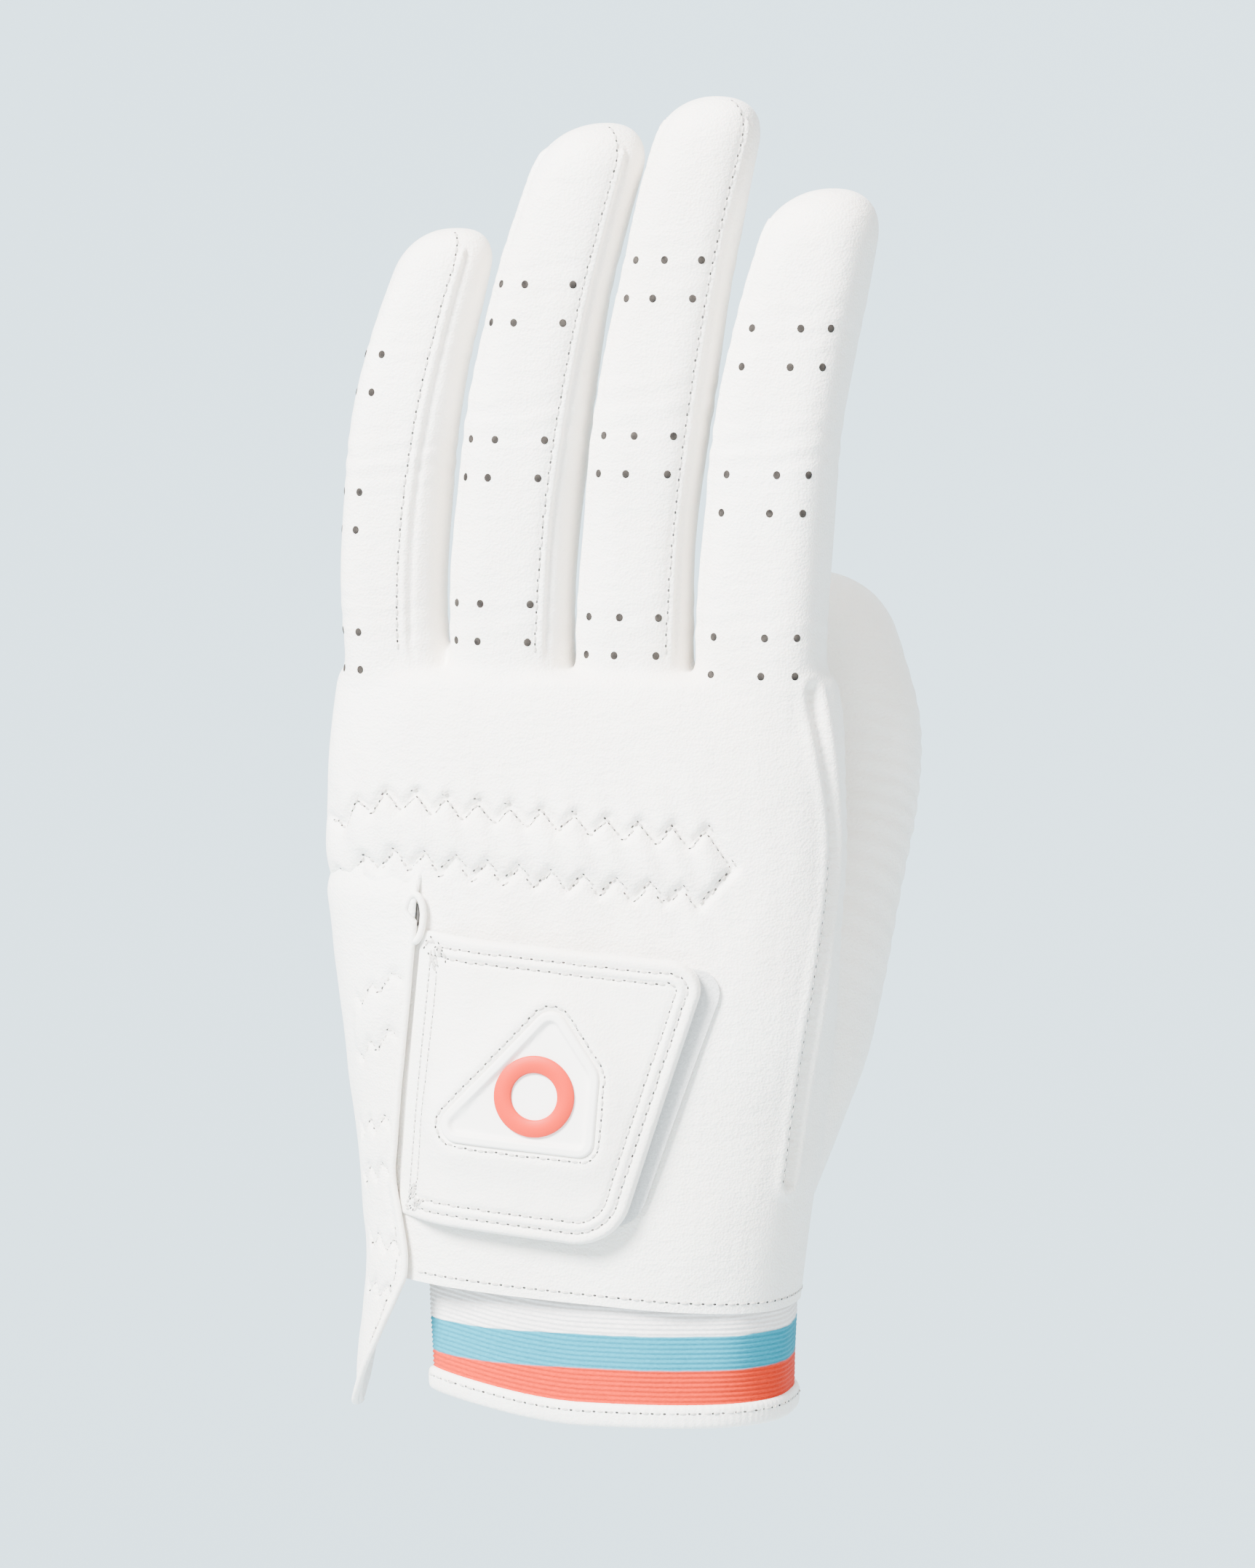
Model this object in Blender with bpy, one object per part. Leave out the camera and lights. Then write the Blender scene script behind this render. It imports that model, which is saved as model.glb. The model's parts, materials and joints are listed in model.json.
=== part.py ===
"""Golf glove for the left hand, shaped as it is worn.

The origin is the centre of the wrist opening. +Z runs to the fingertips, -Y is the back of
the hand and +X is the thumb side. Every panel is a thin wall on a smooth surface: the hand's,
a finger's or the thumb's. Angles run from +X (0) over the palm (+Y) and the little-finger
edge (-X) to the back (-Y).
"""
import math

import bmesh
import bpy
from mathutils import Vector

# ---- fits ----
CLEARANCE = 0.0003          # between pieces that touch
LEATHER = 0.0007            # thickness of the hide
ELASTIC = 0.0006            # thickness of the elastic under the leather

# ---- hand ----
PALM_LENGTH = 0.136         # wrist opening to the knuckle hinges
WRIST_HALF_WIDTH = 0.0375
WRIST_HALF_DEPTH = 0.0222
WRIST_SHIFT = -0.0040       # the leather stands wider on the little-finger side
PALM_HALF_WIDTH = 0.0461
PALM_HALF_DEPTH = 0.0160
PALM_SHIFT = -0.0028
KNUCKLE_HALF_DEPTH = 0.0118
EDGE_MARGIN = 0.0010        # palm wider than the row of fingers, on each side
SQUARENESS = 2.6            # superellipse exponent of the hand's section

# ---- fingers, little to index: half width, length beyond the knuckle, lean and curve in X ----
FINGER_HALF_WIDTH = {"little": 0.0087, "ring": 0.0104, "middle": 0.0096, "index": 0.0108}
FINGER_LENGTH = {"little": 0.0720, "ring": 0.0900, "middle": 0.0946, "index": 0.0786}
FINGER_LEAN = {"little": -0.0060, "ring": 0.0001, "middle": 0.0015, "index": 0.0000}
FINGER_CURVE = {"little": 0.0172, "ring": 0.0168, "middle": 0.0138, "index": 0.0130}
MIDDLE_JOINT = {"little": 0.0320, "ring": 0.0410, "middle": 0.0430, "index": 0.0370}
FINGER_GAP = 0.0022         # between neighbouring fingers
FINGER_FLATNESS = 0.95      # depth over width
FINGER_TAPER = 0.08         # share of the width lost at the tip
FINGER_CURL = 0.0050        # how far the tips sit in front of the palm's mid plane
ROW_CENTRE = -0.0034        # middle of the row of fingers
FINGER_SQUARENESS = 2.3
TIP_LENGTH = 0.0150         # length of the cap that closes each fingertip

# ---- folds at the finger joints: half gap at mid depth, and its slope with depth ----
FOLD_HALF_GAP = 0.0058
FOLD_SLOPE = 0.34

# ---- thumb ----
THUMB_RADIUS = 0.0118
THUMB_BASE_RADIUS = 0.0140
THUMB_TOP = PALM_LENGTH + 0.0105
THUMB_HINGE_Z = 0.7316 * PALM_LENGTH
THUMB_HALF_GAP = 0.0045
THUMB_FILLET = 0.0060       # between the palm and the root of the thumb
THUMB_ARC = (-18.0, 62.0)   # the stretch of the hand's section that the thumb piece fills

# ---- cuff ----
CUFF_HEIGHT = 0.0310
CUFF_INSET = 0.0020         # cuff's outer face under the leather's outer face
CUFF_THICKNESS = 0.0008
CUFF_HALF_WIDTH = 0.0335
BINDING_HEIGHT = 0.0055
HEM_Z = 0.0245              # lower edge of the leather
CUFF_ARC = (228.0, 515.0)
FLAP_BOTTOM = 0.0040

# ---- vent slit, its binding and the elastic ----
SLIT_TOP_SHARE = 0.6765      # height over the palm's length
SLIT_TOP_X = -0.0298
SLIT_SLANT = 0.0775         # metres of X per metre of Z
SLIT_HALF_GAP = 0.0005
SLIT_BINDING_RADIUS = 0.0006
SLIT_LOOP = (0.0020, 0.0036)
SIDE_ARC = 165.0            # where the palm panel meets the little-finger side
BACK_ARC = 342.0            # where the back panel meets the thumb side
KNUCKLE_ELASTIC_BELOW = 0.0310
KNUCKLE_ELASTIC_HALF = 0.0070
KNUCKLE_ELASTIC_ARC = (244.0, 300.0)
WRIST_ELASTIC_Z = (0.32 * PALM_LENGTH, 0.56 * PALM_LENGTH)
WRIST_ELASTIC_ARC = (188.0, 212.0)

# ---- closure tab ----
TAB_HEIGHT = 0.37 * PALM_LENGTH
TAB_BELOW_SLIT_TOP = 0.0063
TAB_REACH = 0.0520          # from its root to the far upper corner
TAB_ROOT_GAP = 0.0018       # from the slit to the tab's root edge
TAB_HINGE_RISE = 0.0003     # hinge line above the lining
TAB_LIFT_LENGTH = 0.0120    # over which the tab rises from the slit to its full height
TAB_BINDING_WIDTH = 0.0016
LINING = 0.0005
HOOK_THICKNESS = 0.0006
LOOP_THICKNESS = 0.0007

# ---- badge ----
BADGE_RIM = 0.0018
BADGE_BASE_THICKNESS = 0.0007
BADGE_RIM_HEIGHT = 0.0007
MARK_RADIUS = 0.14 * min(TAB_HEIGHT, TAB_REACH)
MARK_WIDTH = 0.0030
MARK_THICKNESS = 0.0006
MARK_CENTRE = (0.438 * TAB_REACH, -0.541 * TAB_HEIGHT)   # from the tab's upper root corner

NAMES = ("little", "ring", "middle", "index")
SLIT_TOP = SLIT_TOP_SHARE * PALM_LENGTH
TAB_TOP = SLIT_TOP - TAB_BELOW_SLIT_TOP
FULL_TURN = 360.0
EDGE_ROUNDS = 5            # rounds that settle a slanted edge on its surface

COLOURS = {
    "leather": ((0.90, 0.89, 0.87), 0.55),
    "lining": ((0.80, 0.79, 0.77), 0.85),
    "elastic": ((0.22, 0.55, 0.68), 0.80),
    "hook_and_loop": ((0.84, 0.83, 0.81), 0.95),
    "rubber": ((0.92, 0.92, 0.91), 0.45),
    "coral": ((0.95, 0.14, 0.06), 0.45),
}


# ---------------------------------------------------------------- helpers

def clear_scene():
    """Remove every object of the scene."""
    for obj in list(bpy.data.objects):
        bpy.data.objects.remove(obj, do_unlink=True)


def material(kind):
    """The Principled material of one kind, made once."""
    if kind in bpy.data.materials:
        return bpy.data.materials[kind]
    colour, roughness = COLOURS[kind]
    made = bpy.data.materials.new(kind)
    made.use_nodes = True
    shader = made.node_tree.nodes["Principled BSDF"]
    shader.inputs["Base Color"].default_value = (*colour, 1.0)
    shader.inputs["Roughness"].default_value = roughness
    shader.inputs["Metallic"].default_value = 0.0
    return made


def add_object(name, data, kind, parent=None):
    """Link a mesh or curve in world coordinates under an optional pivot empty."""
    obj = bpy.data.objects.new(name, data)
    bpy.context.collection.objects.link(obj)
    data.materials.append(material(kind))
    if parent is not None:
        obj.parent = parent
        obj.matrix_parent_inverse = parent.matrix_world.inverted()
    return obj


def add_pivot(name, place):
    """An empty on a joint's axis."""
    pivot = bpy.data.objects.new(name, None)
    bpy.context.collection.objects.link(pivot)
    pivot.empty_display_size = 0.01
    pivot.location = place
    bpy.context.view_layer.update()
    return pivot


def finish_mesh(name, bm, kind, parent, smooth_angle=35.0):
    """Turn a bmesh into an object with outward faces and smooth shading."""
    bmesh.ops.recalc_face_normals(bm, faces=bm.faces)
    if bm.calc_volume(signed=True) < 0.0:
        bmesh.ops.reverse_faces(bm, faces=bm.faces)
    mesh = bpy.data.meshes.new(name)
    bm.to_mesh(mesh)
    bm.free()
    mesh.shade_smooth()
    mesh.set_sharp_from_angle(angle=math.radians(smooth_angle))
    return add_object(name, mesh, kind, parent)


def smooth_step(value):
    """0 to 1 with level ends."""
    value = min(max(value, 0.0), 1.0)
    return value * value * (3.0 - 2.0 * value)


def through(stations, z):
    """A smooth curve through (z, value, value...) stations, level with their spacing."""
    if z <= stations[0][0]:
        return stations[0][1:]
    for index in range(len(stations) - 1):
        low, high = stations[index], stations[index + 1]
        if z <= high[0]:
            break
    else:
        return stations[-1][1:]
    before = stations[max(index - 1, 0)]
    after = stations[min(index + 2, len(stations) - 1)]
    span = high[0] - low[0]
    t = (z - low[0]) / span
    values = []
    for k in range(1, len(low)):
        slope_low = (high[k] - before[k]) / (high[0] - before[0]) * span
        slope_high = (after[k] - low[k]) / (after[0] - low[0]) * span
        values.append(
            (2 * t**3 - 3 * t**2 + 1) * low[k]
            + (t**3 - 2 * t**2 + t) * slope_low
            + (3 * t**2 - 2 * t**3) * high[k]
            + (t**3 - t**2) * slope_high
        )
    return tuple(values)


def superellipse(angle, half_x, half_y, exponent):
    """A point of a superellipse about the origin, angle in degrees."""
    c = math.cos(math.radians(angle))
    s = math.sin(math.radians(angle))
    power = 2.0 / exponent
    x = math.copysign(abs(c) ** power, c) * half_x
    y = math.copysign(abs(s) ** power, s) * half_y
    return x, y


# ---------------------------------------------------------------- surfaces

def finger_roots():
    """X of each finger's centre at its knuckle, from the widths and the gap."""
    widths = [2.0 * FINGER_HALF_WIDTH[n] for n in NAMES]
    total = sum(widths) + FINGER_GAP * (len(NAMES) - 1)
    edge = ROW_CENTRE - total / 2.0
    roots = {}
    for name, width in zip(NAMES, widths):
        roots[name] = edge + width / 2.0
        edge += width + FINGER_GAP
    return roots, total


ROOT_X, ROW_WIDTH = finger_roots()

HAND_STATIONS = (
    (0.0, WRIST_SHIFT, WRIST_HALF_WIDTH, WRIST_HALF_DEPTH),
    (0.20 * PALM_LENGTH, WRIST_SHIFT * 0.6, WRIST_HALF_WIDTH + 0.0010, WRIST_HALF_DEPTH),
    (0.45 * PALM_LENGTH, PALM_SHIFT * 0.7, 0.5 * (WRIST_HALF_WIDTH + PALM_HALF_WIDTH) + 0.0010,
     0.65 * WRIST_HALF_DEPTH + 0.35 * PALM_HALF_DEPTH),
    (0.70 * PALM_LENGTH, PALM_SHIFT, PALM_HALF_WIDTH, PALM_HALF_DEPTH),
    (0.88 * PALM_LENGTH, PALM_SHIFT, PALM_HALF_WIDTH,
     0.5 * (PALM_HALF_DEPTH + KNUCKLE_HALF_DEPTH)),
    (PALM_LENGTH, ROW_CENTRE, ROW_WIDTH / 2.0 + EDGE_MARGIN, KNUCKLE_HALF_DEPTH),
)

THUMB_WIDE = PALM_HALF_WIDTH + PALM_SHIFT      # the thumb's X is given in shares of this
THUMB_DEEP = PALM_HALF_DEPTH + THUMB_RADIUS    # and its Y in shares of this
THUMB_STATIONS = (
    (0.22 * PALM_LENGTH, 0.508 * THUMB_WIDE, 0.288 * THUMB_DEEP, 0.85 * THUMB_BASE_RADIUS),
    (0.44 * PALM_LENGTH, 0.686 * THUMB_WIDE, 0.540 * THUMB_DEEP, THUMB_BASE_RADIUS),
    (0.66 * PALM_LENGTH, 0.827 * THUMB_WIDE, 0.845 * THUMB_DEEP,
     0.5 * (THUMB_BASE_RADIUS + THUMB_RADIUS)),
    (0.77 * PALM_LENGTH, 0.889 * THUMB_WIDE, 0.971 * THUMB_DEEP, 1.02 * THUMB_RADIUS),
    (0.875 * PALM_LENGTH, 0.905 * THUMB_WIDE, 1.007 * THUMB_DEEP, THUMB_RADIUS),
    (0.985 * PALM_LENGTH, 0.830 * THUMB_WIDE, 1.043 * THUMB_DEEP, 0.98 * THUMB_RADIUS),
    (THUMB_TOP, 0.750 * THUMB_WIDE, 1.079 * THUMB_DEEP, 0.95 * THUMB_RADIUS),
)


def hand_point(angle, z):
    """The outer face of the bare hand section, without the thumb's swell."""
    centre_x, half_x, half_y = through(HAND_STATIONS, z)
    x, y = superellipse(angle, half_x, half_y, SQUARENESS)
    return Vector((centre_x + x, y, z))


def thumb_base_point(angle, z):
    """The hand section where it swells round the root of the thumb."""
    point = hand_point(angle, z)
    centre_x = through(HAND_STATIONS, z)[0]
    ray = Vector((point.x - centre_x, point.y, 0.0))
    reach = ray.length
    ray.normalize()
    thumb_x, thumb_y, radius = through(THUMB_STATIONS, z)
    to_thumb = Vector((thumb_x - centre_x, thumb_y, 0.0))
    along = to_thumb.dot(ray)
    aside = (to_thumb - ray * along).length
    swell = along + math.sqrt(max(radius**2 - aside**2, 0.0)) if aside < radius else 0.0
    if swell > 0.0:
        part = min(max(0.5 + 0.5 * (swell - reach) / THUMB_FILLET, 0.0), 1.0)
        blend = 0.5 * THUMB_FILLET * part * (1.0 - part)
        reach = reach * (1.0 - part) + swell * part + blend
    return Vector((centre_x, 0.0, z)) + ray * reach


def cuff_point(angle, z):
    """The outer face of the cuff, tucked under the leather's hem."""
    centre_x, half_x, half_y = through(HAND_STATIONS, z)
    right = centre_x + half_x - CUFF_INSET
    part = smooth_step(z / CUFF_HEIGHT)
    half = CUFF_HALF_WIDTH + (0.5 * (right + CUFF_HALF_WIDTH) - CUFF_HALF_WIDTH) * part
    middle = part * (right - half)
    x, y = superellipse(angle, half, half_y - CUFF_INSET, SQUARENESS)
    return Vector((middle + x, y, z))


def finger_surface(name):
    """The outer face of one finger as a function of angle and height."""
    half_width = FINGER_HALF_WIDTH[name]
    length = FINGER_LENGTH[name]

    def point(angle, z):
        share = (z - PALM_LENGTH) / length
        centre_x = ROOT_X[name] + FINGER_LEAN[name] * share + FINGER_CURVE[name] * share**2
        centre_y = FINGER_CURL * max(share, 0.0) ** 2
        size = 1.0 - FINGER_TAPER * max(share, 0.0)
        below_tip = PALM_LENGTH + length - z
        if below_tip < half_width:
            depth = min(max(1.0 - below_tip / half_width, 0.0), 1.0)
            size *= (1.0 - depth**2.4) ** (1.0 / 2.4)
        x, y = superellipse(
            angle, half_width * size, half_width * FINGER_FLATNESS * size, FINGER_SQUARENESS
        )
        return Vector((centre_x + x, centre_y + y, z))

    return point


def thumb_point(angle, z):
    """The outer face of the free part of the thumb."""
    centre_x, centre_y, radius = through(THUMB_STATIONS, z)
    below_tip = THUMB_TOP - z
    if below_tip < radius:
        depth = min(max(1.0 - below_tip / radius, 0.0), 1.0)
        radius *= (1.0 - depth**2.3) ** (1.0 / 2.3)
    x, y = superellipse(angle, radius, radius, FINGER_SQUARENESS)
    return Vector((centre_x + x, centre_y + y, z))


def outward(surface, angle, z):
    """Level normal of a surface."""
    step = 0.5
    along = surface(angle + step, z) - surface(angle - step, z)
    normal = Vector((along.y, -along.x, 0.0))
    return normal.normalized()


def slit_x(z):
    """X of the vent slit at a height."""
    return SLIT_TOP_X - SLIT_SLANT * (SLIT_TOP - z)


def angle_at(x, z):
    """Angle on the back of the hand that has this X."""
    centre_x, half_x, half_y = through(HAND_STATIONS, z)
    share = min(max((x - centre_x) / half_x, -0.98), 0.98)
    turn = math.degrees(math.acos(abs(share) ** (SQUARENESS / 2.0)))
    return 180.0 + turn if share < 0.0 else FULL_TURN - turn


def back_point(x, z, offset):
    """A point on the back of the hand, raised above the leather."""
    angle = angle_at(x, z)
    return hand_point(angle, z) + outward(hand_point, angle, z) * offset


# ---------------------------------------------------------------- builders

def wall(name, surface, arc, low, high, kind, parent=None, thickness=LEATHER, raised=0.0,
         across=8, rows=4):
    """A thin wall on a surface, between two angles and two edges.

    arc is (start, end) in degrees, or functions of z; low and high are heights, or functions
    of (y) for a slanted edge. A full turn gives a closed ring.
    """
    def value(item, at):
        return item(at) if callable(item) else item

    def edge_height(edge, angle, depth):
        """Where the wall's edge lies at this angle: a slanted edge depends on y."""
        z = value(edge, 0.0)
        for _ in range(EDGE_ROUNDS):
            z = value(edge, surface(angle, z).y + outward(surface, angle, z).y * depth)
        return z

    bm = bmesh.new()
    is_ring = not callable(arc[0]) and abs(arc[1] - arc[0] - FULL_TURN) < 1e-6
    columns = across if is_ring else across + 1
    low_mean = value(low, 0.0)
    high_mean = value(high, 0.0)
    layers = []
    for depth in (raised, raised - thickness):
        grid = []
        for row in range(rows + 1):
            share = row / rows
            z_mean = low_mean + (high_mean - low_mean) * share
            start, end = value(arc[0], z_mean), value(arc[1], z_mean)
            line = []
            for column in range(columns):
                angle = start + (end - start) * column / across
                bottom = edge_height(low, angle, depth)
                z = bottom + (edge_height(high, angle, depth) - bottom) * share
                point = surface(angle, z) + outward(surface, angle, z) * depth
                line.append(bm.verts.new(point))
            grid.append(line)
        layers.append(grid)
    outer, inner = layers
    steps = columns if is_ring else columns - 1
    for row in range(rows):
        for column in range(steps):
            after = (column + 1) % columns
            bm.faces.new((outer[row][column], outer[row][after],
                          outer[row + 1][after], outer[row + 1][column]))
            bm.faces.new((inner[row][after], inner[row][column],
                          inner[row + 1][column], inner[row + 1][after]))
    for column in range(steps):
        after = (column + 1) % columns
        bm.faces.new((outer[0][after], outer[0][column], inner[0][column], inner[0][after]))
        bm.faces.new((outer[-1][column], outer[-1][after], inner[-1][after], inner[-1][column]))
    if not is_ring:
        for row in range(rows):
            bm.faces.new((outer[row][0], outer[row + 1][0], inner[row + 1][0], inner[row][0]))
            bm.faces.new((outer[row + 1][-1], outer[row][-1], inner[row][-1],
                          inner[row + 1][-1]))
    return finish_mesh(name, bm, kind, parent)


def cap(name, surface, start, top, kind, parent, around=14, rows=4):
    """A closed fingertip: a cup whose wall follows the surface to its top."""
    bm = bmesh.new()
    pole_gap = 0.0005
    rings = []
    for row in range(rows + 1):
        share = math.sin(0.5 * math.pi * row / rows)
        z = start + (top - pole_gap - start) * share
        rings.append([bm.verts.new(surface(FULL_TURN * k / around, z)) for k in range(around)])
    inner_rings = []
    inner_top = top - LEATHER
    for row in range(rows + 1):
        share = math.sin(0.5 * math.pi * row / rows)
        z = start + (inner_top - pole_gap - start) * share
        ring = []
        for k in range(around):
            angle = FULL_TURN * k / around
            outer_z = min(z + LEATHER * share, top - pole_gap)
            edge = surface(angle, outer_z)
            centre = (surface(0.0, outer_z) + surface(180.0, outer_z)) / 2.0
            arm = edge - centre
            arm *= max(arm.length - LEATHER, 0.2 * arm.length) / arm.length
            ring.append(bm.verts.new((centre.x + arm.x, centre.y + arm.y, z)))
        inner_rings.append(ring)
    for row in range(rows):
        for k in range(around):
            after = (k + 1) % around
            bm.faces.new((rings[row][k], rings[row][after], rings[row + 1][after],
                          rings[row + 1][k]))
            bm.faces.new((inner_rings[row][after], inner_rings[row][k],
                          inner_rings[row + 1][k], inner_rings[row + 1][after]))
    for k in range(around):
        after = (k + 1) % around
        bm.faces.new((rings[0][after], rings[0][k], inner_rings[0][k], inner_rings[0][after]))
    bm.faces.new(rings[-1])
    bm.faces.new(list(reversed(inner_rings[-1])))
    return finish_mesh(name, bm, kind, parent)


def rounded(corners, steps=5):
    """A closed outline from (x, z, radius) corners, each rounded by an arc."""
    outline = []
    count = len(corners)
    for index, (x, z, radius) in enumerate(corners):
        here = Vector((x, z))
        to_before = (Vector(corners[index - 1][:2]) - here).normalized()
        to_after = (Vector(corners[(index + 1) % count][:2]) - here).normalized()
        half = to_before.angle(to_after) / 2.0
        centre = here + (to_before + to_after).normalized() * radius / math.sin(half)
        first = here + to_before * radius / math.tan(half) - centre
        last = here + to_after * radius / math.tan(half) - centre
        turn = first.angle(last)
        for step in range(steps + 1):
            part = step / steps
            arm = first * math.sin((1 - part) * turn) + last * math.sin(part * turn)
            outline.append(centre + arm / math.sin(turn))
    return outline


def dense(outline, pitch=0.0035):
    """The outline with points added along its straight stretches."""
    points = []
    for index, here in enumerate(outline):
        before = outline[index - 1]
        count = max(1, math.ceil((here - before).length / pitch))
        points += [before.lerp(here, (step + 1) / count) for step in range(count)]
    return points


def inset(outline, distance):
    """The outline moved inward; its points keep their order."""
    count = len(outline)
    area = sum(outline[i - 1].cross(outline[i]) for i in range(count))
    side = 1.0 if area > 0.0 else -1.0
    moved = []
    for index, here in enumerate(outline):
        back = (here - outline[index - 1]).normalized()
        ahead = (outline[(index + 1) % count] - here).normalized()
        along = (back + ahead).normalized()
        normal = Vector((-along.y, along.x)) * side
        moved.append(here + normal * distance / max(normal.dot(Vector((-back.y, back.x))) * side,
                                                    0.3))
    return moved


def slab(name, outline, low, high, kind, parent=None, hole=None, pitch=0.007):
    """A flat outline with thickness, wrapped on the back of the hand.

    low and high are heights above the leather, as functions of (x, z). A hole outline has as
    many points as the outer one and gives a ring.
    """
    bm = bmesh.new()
    if hole is None:
        bm.faces.new([bm.verts.new((p.x, 0.0, p.y)) for p in outline])
        for axis, direction in ((0, (1, 0, 0)), (1, (0, 0, 1))):
            values = [p[axis] for p in outline]
            count = int((max(values) - min(values)) / pitch)
            for step in range(1, count + 1):
                place = min(values) + (max(values) - min(values)) * step / (count + 1)
                cut = Vector(direction) * place
                bmesh.ops.bisect_plane(
                    bm, geom=bm.verts[:] + bm.edges[:] + bm.faces[:], plane_co=cut,
                    plane_no=direction, dist=1e-7
                )
    else:
        outside = [bm.verts.new((p.x, 0.0, p.y)) for p in outline]
        inside = [bm.verts.new((p.x, 0.0, p.y)) for p in hole]
        for k in range(len(outline)):
            bm.faces.new((outside[k - 1], outside[k], inside[k], inside[k - 1]))
    bmesh.ops.triangulate(bm, faces=bm.faces[:])
    lower = bm.verts[:]
    upper = bmesh.ops.extrude_face_region(bm, geom=bm.faces[:], use_keep_orig=True)
    raised = [item for item in upper["geom"] if isinstance(item, bmesh.types.BMVert)]
    for vert in raised:
        vert.co = back_point(vert.co.x, vert.co.z, high(vert.co.x, vert.co.z))
    for vert in lower:
        vert.co = back_point(vert.co.x, vert.co.z, low(vert.co.x, vert.co.z))
    return finish_mesh(name, bm, kind, parent)


def tube(name, points, radius, kind, parent=None):
    """A round cord through points."""
    curve = bpy.data.curves.new(name, "CURVE")
    curve.dimensions = "3D"
    curve.bevel_depth = radius
    curve.bevel_resolution = 2
    curve.use_fill_caps = True
    spline = curve.splines.new("POLY")
    spline.points.add(len(points) - 1)
    for place, point in zip(spline.points, points):
        place.co = (*point, 1.0)
    return add_object(name, curve, kind, parent)


# ---------------------------------------------------------------- slanted edges at the folds

def below_fold(hinge_z, hinge_y):
    """Upper edge of the piece below a fold, as a function of y."""
    return lambda y: hinge_z - FOLD_HALF_GAP - FOLD_SLOPE * (y - hinge_y)


def above_fold(hinge_z, hinge_y):
    """Lower edge of the piece above a fold, as a function of y."""
    return lambda y: hinge_z + FOLD_HALF_GAP + FOLD_SLOPE * (y - hinge_y)


def moved_edge(edge, distance):
    """The same edge, higher by a distance."""
    return lambda y: edge(y) + distance


# ---------------------------------------------------------------- the hand

def slit_edge(side):
    """Angle of the slit's edge as a function of z; side is -1 for the flap, 1 for the back."""
    return lambda z: angle_at(slit_x(z) + side * SLIT_HALF_GAP, z)


def arc_gap(radius):
    """Half of the clearance between neighbouring walls, as an angle."""
    return math.degrees(0.5 * CLEARANCE / radius)


def make_hand():
    """The panels of the palm and the back, the cuff, the slit's binding and the elastics."""
    top = below_fold(PALM_LENGTH, 0.0)
    gap = arc_gap(PALM_HALF_DEPTH)
    thumb_start, thumb_end = THUMB_ARC
    thumb_top = THUMB_HINGE_Z - THUMB_HALF_GAP
    wall("back_panel", hand_point, (slit_edge(1.0), lambda z: BACK_ARC - gap), HEM_Z, top,
         "leather", across=14, rows=12)
    wall("little_side_panel", hand_point, (lambda z: SIDE_ARC + gap, slit_edge(-1.0)),
         FLAP_BOTTOM, top, "leather", across=8, rows=14)
    wall("palm_panel", hand_point, (thumb_end + gap, SIDE_ARC - gap), HEM_Z, top, "leather",
         across=12, rows=12)
    wall("index_side_panel", hand_point, (thumb_start + gap, thumb_end - gap),
         thumb_top + CLEARANCE, top, "leather", across=8, rows=4)
    wall("thumb_base_panel", thumb_base_point, (thumb_start + gap, thumb_end - gap), HEM_Z,
         thumb_top, "leather", across=12, rows=10)
    wall("cuff_elastic", cuff_point, CUFF_ARC, BINDING_HEIGHT + CLEARANCE, CUFF_HEIGHT,
         "elastic", thickness=CUFF_THICKNESS, across=28, rows=2)
    wall("cuff_binding", cuff_point, CUFF_ARC, 0.0, BINDING_HEIGHT, "leather",
         thickness=2.0 * LEATHER, raised=0.0002, across=28, rows=1)
    elastic_z = PALM_LENGTH - KNUCKLE_ELASTIC_BELOW
    wall("knuckle_elastic", hand_point, KNUCKLE_ELASTIC_ARC, elastic_z - KNUCKLE_ELASTIC_HALF,
         elastic_z + KNUCKLE_ELASTIC_HALF, "lining", thickness=ELASTIC,
         raised=-LEATHER - 2.0 * CLEARANCE, across=10, rows=2)
    wall("wrist_elastic", hand_point, WRIST_ELASTIC_ARC, WRIST_ELASTIC_Z[0],
         WRIST_ELASTIC_Z[1], "lining", thickness=ELASTIC,
         raised=-LEATHER - 2.0 * CLEARANCE, across=4, rows=4)
    make_slit_binding()


def make_slit_binding():
    """The rolled edge of the flap, which ends in a small loop at the top of the slit."""
    half_width, height = SLIT_LOOP
    lift = SLIT_BINDING_RADIUS + CLEARANCE
    side = SLIT_BINDING_RADIUS + SLIT_HALF_GAP
    points = []
    straight = 16
    straight_top = SLIT_TOP - height
    for step in range(straight + 1):
        z = FLAP_BOTTOM + (straight_top - FLAP_BOTTOM) * step / straight
        points.append(back_point(slit_x(z) - side, z, lift))
    turn_steps = 10
    loop_centre = slit_x(straight_top) - side + half_width
    for step in range(1, turn_steps + 1):
        angle = math.pi * (1.0 - step / turn_steps)
        x = loop_centre + half_width * math.cos(angle)
        z = straight_top + height * math.sin(angle)
        points.append(back_point(x, z, lift))
    tube("slit_binding", points, SLIT_BINDING_RADIUS, "leather")


# ---------------------------------------------------------------- fingers and thumb

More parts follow.
